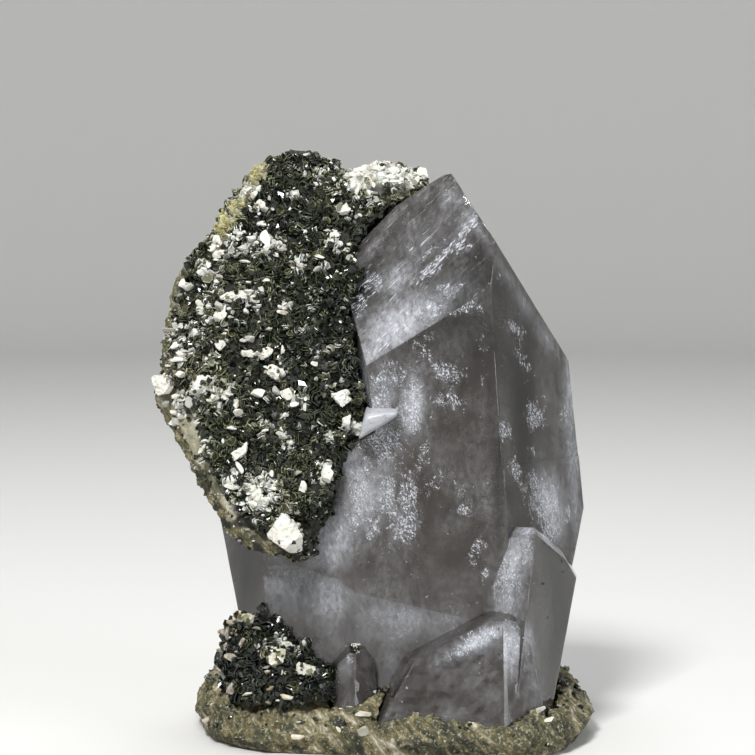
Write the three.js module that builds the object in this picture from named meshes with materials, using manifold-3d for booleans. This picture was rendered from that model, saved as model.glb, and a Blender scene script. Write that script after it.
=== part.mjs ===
// A free-standing mineral specimen: a cluster of clear to milky Himalayan quartz crystals with a thick
// plate of mica on its left flank. The mica stands in books on a feldspar plate, with white feldspar
// crystals among them, and a second patch of mica sits at the foot. The whole cluster rises from a feldspar
// base that is cut off flat underneath.
// Units are millimetres, +Z is up, -Y is the side that the specimen shows, and +X is to the right of it.
import * as THREE from "three";
import { ConvexGeometry } from "three/addons/geometries/ConvexGeometry.js";
import { mergeVertices } from "three/addons/utils/BufferGeometryUtils.js";
import Module from "manifold-3d";

const wasm = await Module();
wasm.setup();

// The middle of the specimen's box, seen from above, which becomes the origin.
const BOX_MIDDLE = [2.3, -4.9];
// Air left between neighbouring pieces.
const GAP = 0.35;
// The quartz starts here, above the base's flat cut.
const QUARTZ_FOOT = 6;
const BASE_CUT = 0;

const COLOURS = {
  quartz: { color: 0x8d8983, roughness: 0.12, metalness: 0, transparent: true, opacity: 0.8 },
  milkyQuartz: { color: 0xc9c8c4, roughness: 0.35, metalness: 0 },
  mica: { color: 0x23261d, roughness: 0.35, metalness: 0 },
  feldspar: { color: 0xe9e6dc, roughness: 0.5, metalness: 0 },
  stainedFeldspar: { color: 0xa79f80, roughness: 0.75, metalness: 0 },
};

// A generator of the same numbers from 0 to 1 on each run.
function seeded(seed) {
  let state = seed >>> 0;
  return () => {
    state = (state + 0x6d2b79f5) >>> 0;
    let mixed = Math.imul(state ^ (state >>> 15), state | 1);
    mixed ^= mixed + Math.imul(mixed ^ (mixed >>> 7), mixed | 61);
    return ((mixed ^ (mixed >>> 14)) >>> 0) / 2 ** 32;
  };
}

const between = (random, low, high) => low + (high - low) * random();

// The closed solid of a geometry, with its shared vertices merged.
function solidOf(geometry) {
  const bare = new THREE.BufferGeometry().setAttribute("position", geometry.getAttribute("position"));
  if (geometry.index) bare.setIndex(geometry.index);
  const merged = mergeVertices(bare, 1e-4);
  return new wasm.Manifold(
    new wasm.Mesh({
      numProp: 3,
      vertProperties: new Float32Array(merged.attributes.position.array),
      triVerts: new Uint32Array(merged.index.array),
    }),
  );
}

function geometryOf(solid) {
  const mesh = solid.getMesh();
  const geometry = new THREE.BufferGeometry();
  geometry.setAttribute("position", new THREE.BufferAttribute(new Float32Array(mesh.vertProperties), 3));
  geometry.setIndex(new THREE.BufferAttribute(new Uint32Array(mesh.triVerts), 1));
  return geometry;
}

// The largest of the bodies that a cut leaves.
function mainBody(solid) {
  return solid.decompose().reduce((a, b) => (b.volume() > a.volume() ? b : a));
}

// Where a face looks: turn is the angle to the right of the shown side, lean the angle above the horizon.
function facing(turn, lean) {
  const [t, l] = [THREE.MathUtils.degToRad(turn), THREE.MathUtils.degToRad(lean)];
  return new THREE.Vector3(Math.sin(t) * Math.cos(l), -Math.cos(t) * Math.cos(l), Math.sin(l));
}

// A flat crystal face: its outward normal, and one point that it passes through.
function face(turn, lean, at) {
  const normal = facing(turn, lean);
  return { normal, reach: normal.dot(new THREE.Vector3(...at)) };
}

// The same face, moved outwards.
const raised = (flat, by) => ({ normal: flat.normal, reach: flat.reach + by });

// The convex body behind all the faces, from the corners where three of them meet.
function crystal(faces) {
  const corners = [];
  const tolerance = 1e-5;
  for (let i = 0; i < faces.length; i++)
    for (let j = i + 1; j < faces.length; j++)
      for (let k = j + 1; k < faces.length; k++) {
        const [a, b, c] = [faces[i], faces[j], faces[k]];
        const volume = a.normal.dot(new THREE.Vector3().crossVectors(b.normal, c.normal));
        if (Math.abs(volume) < tolerance) continue;
        const corner = new THREE.Vector3()
          .addScaledVector(new THREE.Vector3().crossVectors(b.normal, c.normal), a.reach)
          .addScaledVector(new THREE.Vector3().crossVectors(c.normal, a.normal), b.reach)
          .addScaledVector(new THREE.Vector3().crossVectors(a.normal, b.normal), c.reach)
          .divideScalar(volume);
        const inside = faces.every((f) => f.normal.dot(corner) <= f.reach + tolerance);
        if (inside && corners.every((other) => other.distanceTo(corner) > 1e-3)) corners.push(corner);
      }
  return solidOf(new ConvexGeometry(corners));
}

const grownCrystal = (faces, by) => crystal(faces.map((f) => raised(f, by)));

const union = (solids) => solids.reduce((a, b) => a.add(b));

// A growth step: the crystal with one face raised, on one side of a line that runs along that face.
function growthStep(faces, index, { rise, line, at }) {
  const along = new THREE.Vector3(...line);
  const across = new THREE.Vector3().crossVectors(faces[index].normal, along).normalize();
  const edge = { normal: across, reach: across.dot(new THREE.Vector3(...at)) };
  return [...faces.map((f, i) => (i === index ? raised(f, rise) : f)), edge];
}

const FOOT_FACE = face(0, -90, [0, 0, QUARTZ_FOOT]);
const WEDGE_TOP = face(0, 90, [0, 0, 50]);

// The main crystal. Its first two faces are the shown prism face and the striated face under the tip.
const MAIN_CREST = [30, -30, 109.4];
const MAIN_TIP = [20.5, -14, 137.2];
const TIP_STEPS = 0.9;
const mainFront = face(-10, 4, MAIN_CREST);
const lowerRight = face(90, -14, [54.4, -2, 52]);
const mainCrystal = [
  mainFront,
  raised(face(-22, 22, MAIN_CREST), -TIP_STEPS),
  face(57, 5.5, MAIN_CREST),
  face(90, 32.5, [50.6, -1, 90.2]),
  face(104, 5.5, [50.6, -1, 90.2]),
  lowerRight,
  face(150, 4, [44, 24, 70]),
  face(-168, 3, [20, 29, 70]),
  face(-118, 4, [-2, 12, 92]),
  face(-76, -6.5, [-4.5, -16, 110]),
  face(-97, 57, MAIN_TIP),
  face(-84, 44, [9.6, -11.5, 130.7]),
  face(172, 42, MAIN_TIP),
  face(-140, 47, [8, -6, 128]),
  FOOT_FACE,
];

// The lower crystal on the left, in parallel growth: it shares the main crystal's front face.
const leftCrystal = [
  mainFront,
  face(-56, 3, [-24.5, -25, 45.7]),
  face(-91, -13, [-34.5, -10, 44.7]),
  face(-104, 12, [-36, -8, 52]),
  face(-172, 4, [-10, 22, 40]),
  face(-40, 44, [-16.7, -25, 64.1]),
  face(-96, 40, [-26, -6, 72]),
  face(168, 46, [-12, 8, 88]),
  face(80, 10, [16, 0, 60]),
  FOOT_FACE,
];

// Two shallow wedges on the front face, low on the left. Their upper edges lie on that face.
const wedgeLeft = [
  face(-10, 11, [-19.7, -26, 42.3]),
  face(-8, 10.7, [-11.5, -27.5, 41.1]),
  face(-6, 9.8, [-3.5, -29.2, 37.3]),
  face(-56, 3, [-24.5, -25, 45.7]),
  face(-91, -13, [-34.5, -10, 44.7]),
  face(172, 0, [0, 0, 20]),
  face(80, 0, [14, 0, 30]),
  WEDGE_TOP,
  FOOT_FACE,
];
const wedgeRight = [
  face(-8.6, 10.9, [12, -32.4, 32.5]),
  face(64, 8, [40, -33, 26]),
  lowerRight,
  face(-78, 2, [-15, -26, 20]),
  face(172, 0, [0, 0, 20]),
  WEDGE_TOP,
  FOOT_FACE,
];

// The side crystals along the right and the front of the foot, and two more behind.
const rightCrystal = [
  face(-42.6, 15, [34.9, -35, 50.4]),
  face(58.4, 1.7, [40.3, -39.4, 52.2]),
  face(81, 35.6, [40.3, -39.4, 52.2]),
  face(-59, 54, [34.9, -35, 50.4]),
  face(140, 66, [39.6, -37.2, 53.6]),
  face(88, 27.4, [49, -25.7, 43.1]),
  face(84, -10, [51.5, -22, 38.8]),
  face(150, 0, [46, -8, 30]),
  face(-150, 10, [34, -14, 46]),
  FOOT_FACE,
];
const frontCrystal = [
  face(-12, 14, [29.4, -46.6, 30]),
  face(36, 12, [37, -45, 26]),
  face(-86, 61, [20.2, -46, 27.4]),
  face(-30, 84, [31, -45.5, 32.5]),
  face(70, 56, [36.2, -45, 31.4]),
  face(82, 30, [37.9, -43, 28.4]),
  face(86, 12, [39.8, -42, 23.6]),
  face(-80, 30, [10, -43, 20]),
  face(172, 4, [24, -30, 20]),
  FOOT_FACE,
];
const smallCrystal = [
  face(-32, 18, [-2.2, -39.5, 20.6]),
  face(38, 16, [-2.2, -39.5, 20.6]),
  face(-80, 44, [-4.6, -38, 22]),
  face(80, 42, [0.4, -38, 22]),
  face(-10, 80, [-2.2, -38.4, 23.2]),
  face(-84, 6, [-7.2, -36, 16]),
  face(82, 6, [2.8, -36, 16]),
  face(178, 6, [-2, -28, 20]),
  FOOT_FACE,
];
const backCrystal = [
  face(176, 8, [4, 39, 22]),
  face(116, 6, [17, 34, 20]),
  face(-120, 8, [-8, 34, 20]),
  face(178, 50, [4, 36.5, 40]),
  face(80, 34, [9, 32, 44]),
  face(-92, 42, [-1, 32, 44]),
  face(0, 10, [4, 16, 40]),
  FOOT_FACE,
];
const backSideCrystal = [
  face(150, 10, [-20, 30, 16]),
  face(-158, 6, [-22, 27, 16]),
  face(-104, 8, [-30, 20, 14]),
  face(-150, 52, [-24, 25, 24]),
  face(120, 44, [-20, 24, 26]),
  face(-30, 60, [-24, 20, 28]),
  face(20, 10, [-20, 8, 20]),
  FOOT_FACE,
];

// Growth steps run along one direction on the face under the tip, and across the right-hand prism face.
const TIP_GRAIN = [0.77, -0.04, 0.63];
const SIDE_GRAIN = [0.54, 0.84, -0.03];
const quartzSteps = [
  growthStep(mainCrystal, 1, { rise: 0.35, line: TIP_GRAIN, at: [14, -15.5, 127.8] }),
  growthStep(mainCrystal, 1, { rise: 0.65, line: TIP_GRAIN, at: [18.2, -20.5, 120.3] }),
  growthStep(mainCrystal, 1, { rise: TIP_STEPS, line: TIP_GRAIN, at: [19.7, -23.5, 114.8] }),
  growthStep(mainCrystal, 2, { rise: 0.5, line: SIDE_GRAIN, at: [42, -15, 66.5] }),
];

const quartzCrystals = [
  mainCrystal,
  leftCrystal,
  wedgeLeft,
  wedgeRight,
  rightCrystal,
  frontCrystal,
  smallCrystal,
  backCrystal,
  backSideCrystal,
  ...quartzSteps,
];
const quartz = mainBody(union(quartzCrystals.map(crystal)));
const quartzRoom = union(quartzCrystals.map((faces) => grownCrystal(faces, GAP)));

// The plate's own frame: across it to the right, up along it, and out of its shown side.
const PLATE_MIDDLE = new THREE.Vector3(-25.8, -19.6, 94);
const plateOut = facing(-2.6, 20.6);
const plateUp = new THREE.Vector3(0, 0, 1).addScaledVector(plateOut, -plateOut.z).normalize();
const plateRight = new THREE.Vector3().crossVectors(plateUp, plateOut);
const plateFrame = new THREE.Matrix4().makeBasis(plateRight, plateUp, plateOut).setPosition(PLATE_MIDDLE);

// The plate's outline in its own frame, from its top round its right edge to its foot and up the left.
const PLATE_OUTLINE = [
  [6.5, 52.4], [12, 51.4], [17.7, 48.8], [21.9, 46.4], [26.8, 47.4], [31.8, 48], [36.2, 46.8], [40.5, 43.5],
  [39, 34], [34, 25.5], [28.5, 16], [28, 5], [29.5, -5], [29, -13], [26.5, -18.6], [23.2, -23.6],
  [21.6, -28], [20.1, -34.7], [18.3, -39], [16, -43.5], [14.2, -48], [11, -50.7], [6.5, -50],
  [2.3, -48.9], [-2, -46.8], [-6.6, -43.4], [-10.9, -38], [-14.2, -32.4], [-17.5, -26.3], [-20.7, -20.1],
  [-23.7, -15.6], [-26, -12.2], [-26.2, -8], [-25, -3], [-24, 5], [-22.4, 12.6], [-19.7, 19.8],
  [-16.2, 26], [-12.7, 32], [-8, 39.8], [-3.4, 45.4], [1.4, 49.8],
];

// Rounded hills and hollows over a rough lump, from -1 to 1.
const hills = (x, y) =>
  0.6 * Math.sin(x * 0.61 + 1.3) * Math.sin(y * 0.53 + 0.4) + 0.4 * Math.sin(x * 0.27 - y * 0.34);

// A rough lump in its own frame: rings of one outline, from the middle of its back round its edge to the
// middle of its front. Each ring has its share of the outline, its height, how far it is drawn in at its
// lower left, and how high its hills are.
function lump(outline, rings, { roughness, seed, swell = 0 }) {
  const random = seeded(seed);
  const middle = outline
    .reduce((sum, [x, y]) => [sum[0] + x, sum[1] + y], [0, 0])
    .map((sum) => sum / outline.length);
  const count = outline.length;
  const points = [];
  for (const { share, height, drawnIn = 0, rise = 0, rough = roughness } of rings)
    for (const [x, y] of outline) {
      const [dx, dy] = [x - middle[0], y - middle[1]];
      const far = Math.hypot(dx, dy);
      const lowerLeft = Math.max(0, (-dx - dy) / far / Math.SQRT2);
      const spread = share * (1 + between(random, -rough, rough) / far) - (drawnIn * lowerLeft ** 2) / far;
      const [px, py] = [middle[0] + dx * spread, middle[1] + dy * spread];
      points.push(px, py, height + between(random, -rough, rough) * share * 0.5 + rise * hills(px, py));
    }
  const [backPole, frontPole] = [points.length / 3, points.length / 3 + 1];
  const last = rings.length - 1;
  points.push(middle[0], middle[1], rings[0].height, middle[0], middle[1], rings[last].height);
  const faces = [];
  for (let i = 0; i < count; i++) {
    const j = (i + 1) % count;
    faces.push(backPole, j, i, frontPole, last * count + i, last * count + j);
    for (let ring = 0; ring < last; ring++) {
      const [a, b] = [ring * count + i, ring * count + j];
      const [c, d] = [a + count, b + count];
      faces.push(a, b, d, a, d, c);
    }
  }
  const clockwise = THREE.ShapeUtils.isClockWise(outline.map(([x, y]) => new THREE.Vector2(x, y)));
  if (clockwise)
    for (let i = 0; i < faces.length; i += 3) [faces[i + 1], faces[i + 2]] = [faces[i + 2], faces[i + 1]];
  const geometry = new THREE.BufferGeometry();
  geometry.setAttribute("position", new THREE.Float32BufferAttribute(points, 3));
  geometry.setIndex(faces);
  geometry.computeVertexNormals();
  const { position, normal } = geometry.attributes;
  for (let i = 0; i < position.count; i++)
    position.setXYZ(
      i,
      position.getX(i) + normal.getX(i) * swell,
      position.getY(i) + normal.getY(i) * swell,
      position.getZ(i) + normal.getZ(i) * swell,
    );
  return geometry;
}

// The feldspar plate under the mica: flat in front, bulging behind, drawn in along the lower left.
const PLATE_RINGS = [
  { share: 0.35, height: -19 },
  { share: 0.66, height: -17.5 },
  { share: 0.87, height: -14 },
  { share: 0.99, height: -9 },
  { share: 1.03, height: -4.5, drawnIn: 1 },
  { share: 1.0, height: -1.4, drawnIn: 4 },
  { share: 0.9, height: -0.8, drawnIn: 5, rough: 0.3 },
  { share: 0.4, height: -0.6, rough: 0.3 },
];
const plateLump = (swell) =>
  solidOf(lump(PLATE_OUTLINE, PLATE_RINGS, { roughness: 1.1, seed: 11, swell }).applyMatrix4(plateFrame));
const plateRoom = plateLump(GAP);
const plate = mainBody(plateLump(0).subtract(quartzRoom));

// A book of mica: a six-sided plate, turned so that it stands on edge among the others.
function micaBook(random, { at, frame, radius, thickness, sink }) {
  const book = new THREE.CylinderGeometry(radius, radius * 0.94, thickness, 6);
  const stand = new THREE.Matrix4().makeRotationFromEuler(
    new THREE.Euler(
      between(random, -0.5, 0.5),
      between(random, 0, Math.PI * 2),
      Math.PI / 2 + between(random, -0.55, 0.55),
      "ZXY",
    ),
  );
  const spin = new THREE.Matrix4().makeRotationZ(between(random, 0, Math.PI * 2));
  const [x, y, z] = at;
  return solidOf(
    book
      .applyMatrix4(stand)
      .applyMatrix4(spin)
      .translate(x, y, z + radius * sink)
      .applyMatrix4(frame),
  );
}

// Even but irregular places inside an outline.
function placesIn(outline, spacing, random, share) {
  const shape = outline.map(([x, y]) => new THREE.Vector2(x, y));
  const box = new THREE.Box2().setFromPoints(shape);
  const middle = shape.reduce((sum, p) => sum.add(p), new THREE.Vector2()).divideScalar(shape.length);
  const inside = (p) => {
    let odd = false;
    shape.forEach((a, i) => {
      const b = shape[(i + 1) % shape.length];
      if (a.y > p.y !== b.y > p.y && p.x < ((b.x - a.x) * (p.y - a.y)) / (b.y - a.y) + a.x) odd = !odd;
    });
    return odd;
  };
  const found = [];
  for (let row = 0, y = box.min.y; y < box.max.y; y += spacing * 0.87, row++)
    for (let x = box.min.x + (row % 2) * spacing * 0.5; x < box.max.x; x += spacing) {
      const place = new THREE.Vector2(
        x + between(random, -0.3, 0.3) * spacing,
        y + between(random, -0.3, 0.3) * spacing,
      );
      const stretched = place.clone().sub(middle).divideScalar(share).add(middle);
      if (inside(stretched)) found.push([place.x, place.y]);
    }
  return found;
}

// A feldspar crystal: a block with its edges cut askew, given by its size and where it sits.
function feldsparBlock({ size, at, turn, tip, roll, seed, frame }, swell = 0) {
  const random = seeded(seed);
  const [w, d, h] = size.map((s) => s / 2 + swell);
  const corners = [];
  for (const sx of [-1, 1])
    for (const sy of [-1, 1])
      for (const sz of [-1, 1]) {
        const cut = between(random, 0.62, 0.95);
        corners.push(new THREE.Vector3(sx * w, sy * d * cut, sz * h * cut));
        corners.push(new THREE.Vector3(sx * w * cut, sy * d, sz * h * cut));
      }
  const angles = [turn, tip, roll].map(THREE.MathUtils.degToRad);
  return solidOf(
    new ConvexGeometry(corners)
      .applyMatrix4(new THREE.Matrix4().makeRotationFromEuler(new THREE.Euler(...angles)))
      .translate(...at)
      .applyMatrix4(frame),
  );
}

// The large feldspar crystals on the plate and at the foot, named by where they sit.
const level = new THREE.Matrix4();
const placed = (frame) => (size, at, turn, tip, roll, seed) => ({ size, at, turn, tip, roll, seed, frame });
const onPlate = placed(plateFrame);
const atFoot = placed(level);
const FELDSPAR = {
  feldspar_block_left: onPlate([4.6, 5, 5.4], [-22.8, -9.2, 1.6], 10, -15, 12, 1),
  feldspar_block_foot: onPlate([9.4, 7.4, 6], [9, -46, 1.6], 8, 5, -35, 2),
  feldspar_blade_upper: onPlate([6.2, 2.8, 4], [1.8, -2, 3.6], 20, -8, 18, 3),
  feldspar_blade_middle: onPlate([5.4, 2.8, 4], [4.2, -6.4, 3.6], -15, 10, -38, 4),
  feldspar_grain_right: onPlate([3.6, 4.6, 3.4], [20.4, -12.4, 3], 15, 20, 40, 5),
  feldspar_grain_edge: onPlate([3.6, 4, 3.4], [22.4, -18.4, 3], -8, 12, 10, 14),
  feldspar_blade_right: onPlate([3, 5, 3.4], [17.4, -31.6, 2.8], 5, 12, -22, 6),
  feldspar_blade_top: onPlate([3.6, 2.8, 3.4], [20.6, 34.8, 3], -10, 5, 25, 7),
  feldspar_grain_top: onPlate([3.6, 3.2, 3.2], [-0.2, 36.2, 3], 25, -10, -15, 8),
  feldspar_blade_low: onPlate([7, 2.2, 3.4], [-3.2, -26.4, 3], 5, -6, 36, 9),
  feldspar_ridge_left: onPlate([7.8, 4.4, 4], [-13.8, -9.6, 2.4], -8, 5, 8, 10),
  feldspar_ridge_upper: onPlate([10, 3, 3.8], [-6.6, 12.6, 2.8], 10, 4, 4, 12),
  feldspar_crest: onPlate([12, 7, 4.4], [31.4, 43.2, 1.6], 5, 10, -12, 13),
  feldspar_foot_upper: atFoot([8.4, 6, 5], [-27.4, -28, 29.6], 5, 18, 8, 15),
  feldspar_foot_middle: atFoot([5.6, 5, 4.8], [-21.6, -38.4, 23], 12, 25, 5, 16),
  feldspar_foot_right: atFoot([5, 4.6, 4], [-13.8, -39.4, 19.4], -6, 20, -12, 17),
};
const feldsparRoom = union(Object.values(FELDSPAR).map((form) => feldsparBlock(form, GAP)));

// The little milky crystal that lies across the plate's right edge and points to the right.
const milkyCrystal = [
  face(-10, 82, [3, -33, 80.2]),
  face(76, -58, [7.8, -33, 79.3]),
  face(88, -10, [8, -33, 80]),
  face(-12, 26, [3, -34.6, 79.4]),
  face(8, -14, [3, -34.6, 78.6]),
  face(-95, 6, [-3, -32, 78]),
  face(172, 0, [3, -24, 80]),
];
const milkyPoint = (swell) => grownCrystal(milkyCrystal, swell);
const milkyRoom = milkyPoint(GAP);

// The mica crust: a lumpy sheet over the plate's front, with books standing out of it.
const CRUST_RINGS = [
  { share: 0.4, height: -2.5 },
  { share: 0.9, height: -3, drawnIn: 5 },
  { share: 1.01, height: -1, drawnIn: 5.6 },
  { share: 0.99, height: 1.1, drawnIn: 5.6 },
  { share: 0.78, height: 1.9, drawnIn: 2.5, rise: 1 },
  { share: 0.54, height: 2, rise: 1.2, rough: 0.5 },
  { share: 0.27, height: 2, rise: 1.2, rough: 0.2 },
];
const BOOK_SPACING = 7.9;
function micaCrust() {
  const random = seeded(21);
  const sheet = solidOf(
    lump(PLATE_OUTLINE, CRUST_RINGS, { roughness: 0.9, seed: 22 }).applyMatrix4(plateFrame),
  );
  const books = placesIn(PLATE_OUTLINE, BOOK_SPACING, random, 0.93).map(([x, y]) =>
    micaBook(random, {
      at: [x + 0.8, y + 0.8, 1.2],
      frame: plateFrame,
      radius: between(random, 2.8, 3.9),
      thickness: between(random, 0.9, 1.7),
      sink: 0.25,
    }),
  );
  return mainBody(
    union([sheet, ...books])
      .subtract(plateRoom)
      .subtract(quartzRoom)
      .subtract(feldsparRoom)
      .subtract(milkyRoom),
  );
}

// The base's outline and rings, seen from above.
const BASE_OUTLINE = [
  [-40, -22], [-38, -31], [-32, -39], [-24, -44], [-14, -46], [-4, -47.5], [6, -51], [16, -54.5],
  [27, -56], [37, -54.5], [45, -49], [50.5, -41], [54, -31], [55.5, -20], [56, -8], [55, 4],
  [52, 16], [47, 28], [38, 38], [26, 43.5], [12, 45], [-4, 43.5], [-18, 40], [-29, 34],
  [-36, 26], [-40, 15], [-42, 4], [-42, -8], [-41, -16],
];
const BASE_RINGS = [
  { share: 0.93, height: 0, rough: 0 },
  { share: 0.985, height: 2.5 },
  { share: 1.0, height: 5.5, rise: 1.5 },
  { share: 0.96, height: 9, rise: 2 },
  { share: 0.87, height: 11.5, rise: 3 },
  { share: 0.72, height: 13, rise: 3, rough: 0.8 },
];
const baseLump = (swell) =>
  solidOf(lump(BASE_OUTLINE, BASE_RINGS, { roughness: 1.6, seed: 31, swell }));

// The mica patch at the foot, on the left: its outline seen from above, and its height.
const PATCH_OUTLINE = [
  [-34, -18], [-34.6, -26], [-32.5, -33], [-28, -38], [-21, -41], [-14, -42], [-8, -41], [-6, -38],
  [-7, -31], [-14, -27], [-22, -23], [-27, -15], [-30, -6], [-33, -3], [-35, -10],
];
const PATCH_RINGS = [
  { share: 0.9, height: 5 },
  { share: 1.0, height: 10 },
  { share: 0.98, height: 16 },
  { share: 0.88, height: 22 },
  { share: 0.6, height: 27 },
  { share: 0.3, height: 29 },
];
// How much lower the heap's top gets per millimetre to the right.
const PATCH_FALL = 0.42;
const PATCH_BOOKS = 21;
function micaPatch(baseRoom) {
  const random = seeded(41);
  const heap = lump(PATCH_OUTLINE, PATCH_RINGS, { roughness: 1.4, seed: 42 });
  const { position } = heap.attributes;
  const middle = PATCH_OUTLINE.reduce((sum, [x]) => sum + x, 0) / PATCH_OUTLINE.length;
  for (let i = 0; i < position.count; i++) {
    const fall = PATCH_FALL * (position.getX(i) - middle) * (position.getZ(i) / 30);
    position.setZ(i, position.getZ(i) - fall);
  }
  const books = Array.from({ length: PATCH_BOOKS }, () => {
    const i = Math.floor(between(random, PATCH_OUTLINE.length, position.count - 2));
    return micaBook(random, {
      at: [position.getX(i), position.getY(i), position.getZ(i)],
      frame: level,
      radius: between(random, 2.6, 3.8),
      thickness: between(random, 0.9, 1.6),
      sink: 0.1,
    });
  });
  return mainBody(
    union([solidOf(heap), ...books])
      .subtract(quartzRoom)
      .subtract(baseRoom)
      .subtract(feldsparRoom),
  );
}

const materialOf = (name) => new THREE.MeshStandardMaterial(COLOURS[name]);

function mesh(name, solid, material) {
  const made = new THREE.Mesh(geometryOf(solid), materialOf(material));
  made.name = name;
  return made;
}

const specimen = new THREE.Group();
specimen.name = "specimen";
specimen.add(mesh("quartz_crystals", quartz, "quartz"));
specimen.add(mesh("feldspar_plate", plate, "stainedFeldspar"));
specimen.add(mesh("mica_crust", micaCrust(), "mica"));
for (const [name, form] of Object.entries(FELDSPAR)) {
  const block = feldsparBlock(form).subtract(plateRoom).subtract(quartzRoom).subtract(milkyRoom);
  specimen.add(mesh(name, mainBody(block), "feldspar"));
}
const milky = mainBody(milkyPoint(0).subtract(plateRoom).subtract(quartzRoom));
specimen.add(mesh("milky_quartz_point", milky, "milkyQuartz"));
specimen.add(mesh("feldspar_base", mainBody(baseLump(0).subtract(quartzRoom)), "stainedFeldspar"));
specimen.add(mesh("mica_patch", micaPatch(baseLump(GAP)), "mica"));
specimen.position.set(-BOX_MIDDLE[0], -BOX_MIDDLE[1], 0);

export default specimen;
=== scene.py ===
# %% [markdown]
# # A quartz cluster with a plate of mica
# This lesson dresses a plain model of a mineral specimen. The real thing is a cluster of smoky quartz
# crystals. A plate of dark mica leans on its left flank, with small white feldspar crystals in it, and the
# whole cluster rises from a rock foot that is cut off flat. The plain model gives every size and place, in
# metres, and each piece that we make here sits on it or stands in for one of its solids.

import math
import random

import bmesh
import bpy
import numpy as np
from mathutils import Matrix, Vector, noise
from mathutils.bvhtree import BVHTree


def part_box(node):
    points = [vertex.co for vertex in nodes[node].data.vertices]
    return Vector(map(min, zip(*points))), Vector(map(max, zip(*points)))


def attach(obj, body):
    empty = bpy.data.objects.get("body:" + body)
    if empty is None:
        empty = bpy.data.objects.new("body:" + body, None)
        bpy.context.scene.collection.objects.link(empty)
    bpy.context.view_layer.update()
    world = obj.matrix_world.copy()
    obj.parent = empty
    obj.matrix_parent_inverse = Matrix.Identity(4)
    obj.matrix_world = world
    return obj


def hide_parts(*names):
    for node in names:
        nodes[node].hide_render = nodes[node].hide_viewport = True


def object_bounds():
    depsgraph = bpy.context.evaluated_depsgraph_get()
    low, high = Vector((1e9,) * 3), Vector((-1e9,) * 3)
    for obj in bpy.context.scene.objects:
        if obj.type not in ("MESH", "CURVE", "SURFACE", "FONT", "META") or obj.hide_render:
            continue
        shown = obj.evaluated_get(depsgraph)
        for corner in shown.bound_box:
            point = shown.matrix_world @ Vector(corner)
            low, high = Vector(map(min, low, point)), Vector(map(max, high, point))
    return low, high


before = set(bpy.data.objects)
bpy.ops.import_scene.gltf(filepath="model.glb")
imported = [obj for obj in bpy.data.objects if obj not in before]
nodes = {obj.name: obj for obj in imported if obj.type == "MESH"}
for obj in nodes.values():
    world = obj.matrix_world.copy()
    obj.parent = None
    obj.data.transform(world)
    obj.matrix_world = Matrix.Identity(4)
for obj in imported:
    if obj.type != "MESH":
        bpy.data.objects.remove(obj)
cad_box = [list(corner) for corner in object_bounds()]
MM = 0.001
print("nodes:", len(nodes), "box:", [[round(v, 4) for v in corner] for corner in cad_box])

# %% [markdown]
# ## Small tools
# Shapes are made in Blender's editing form, a bmesh, and then kept as meshes. These few functions do what
# every later step needs: go from a mesh to its editing form and back, and put an object into the scene.


# %% Small tools
def working_copy(*meshes):
    bm = bmesh.new()
    for mesh in meshes:
        bm.from_mesh(mesh)
    return bm


def mesh_of(name, bm):
    """The shape as a mesh, with its editing form let go."""
    mesh = bpy.data.meshes.new(name)
    bm.to_mesh(mesh)
    bm.free()
    return mesh


def data_of(name):
    return bpy.data.objects[name].data


def tree_of(mesh):
    return BVHTree.FromPolygons([v.co for v in mesh.vertices], [tuple(p.vertices) for p in mesh.polygons])


def add_object(name, data):
    made = bpy.data.objects.new(name, data)
    bpy.context.scene.collection.objects.link(made)
    return made


def scatter(rng, x, y, z):
    return Vector((rng.gauss(0, x), rng.gauss(0, y), rng.gauss(0, z)))


def any_turn(rng, axis):
    return Matrix.Rotation(rng.uniform(0, 6.28), 4, axis)


print("tools ready")

# %% [markdown]
# ## The camera
# The specimen is seen from a little above its middle, from about four times its own height away. The
# camera comes first, because every later look at the model goes through it.

# %% Camera
# The middle of the photograph's frame and the way to the camera, in millimetres.
FRAME_MIDDLE = Vector((0.8, 4.9, 85.6)) * MM
CAMERA_DISTANCE = 650 * MM
CAMERA_ABOVE = math.radians(5)
LENS_MM, SENSOR_MM = 124, 36


def make_camera():
    data = bpy.data.cameras.new("camera")
    data.lens, data.sensor_width = LENS_MM, SENSOR_MM
    data.clip_start, data.clip_end = 0.01, 20
    camera = add_object("camera", data)
    back = Vector((0, -math.cos(CAMERA_ABOVE), math.sin(CAMERA_ABOVE)))
    camera.location = FRAME_MIDDLE + back * CAMERA_DISTANCE
    camera.rotation_euler = (math.pi / 2 - CAMERA_ABOVE, 0, 0)
    bpy.context.scene.camera = camera
    return camera


camera = make_camera()
print("camera at", [round(v, 3) for v in camera.location])

# %% [markdown]
# ## Floor, backdrop and light
# A pale bowl, spun from a floor line that curves up into a wall, gives a plain ground with no horizon from
# any side. A soft lamp stands at the upper left, where the specimen's light comes from, a weaker one fills
# the right, and a pale sky above lights what both miss. Lamps with a clear edge give the quartz its gloss.


# %% Floor and lamps
BOWL_RADIUS, BOWL_CORNER, BOWL_HEIGHT = 1.6, 0.4, 2.0
CORNER_STEPS, ROUND_STEPS = 14, 72
# Each lamp: where it stands, its two sides, its watts and its colour.
LAMPS = {
    "key_lamp": ((-0.3, -0.8, 1.05), (0.3, 0.3), 19, (1.0, 0.99, 0.97)),
    "fill_lamp": ((0.8, -0.5, 0.4), (0.5, 0.6), 3.0, (0.93, 0.96, 1.0)),
    "top_lamp": ((0.0, 0.25, 0.95), (0.6, 0.4), 4, (1, 1, 1)),
}
SKY_COLOUR, SKY_STRENGTH = (0.85, 0.88, 0.92, 1), 0.22


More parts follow.
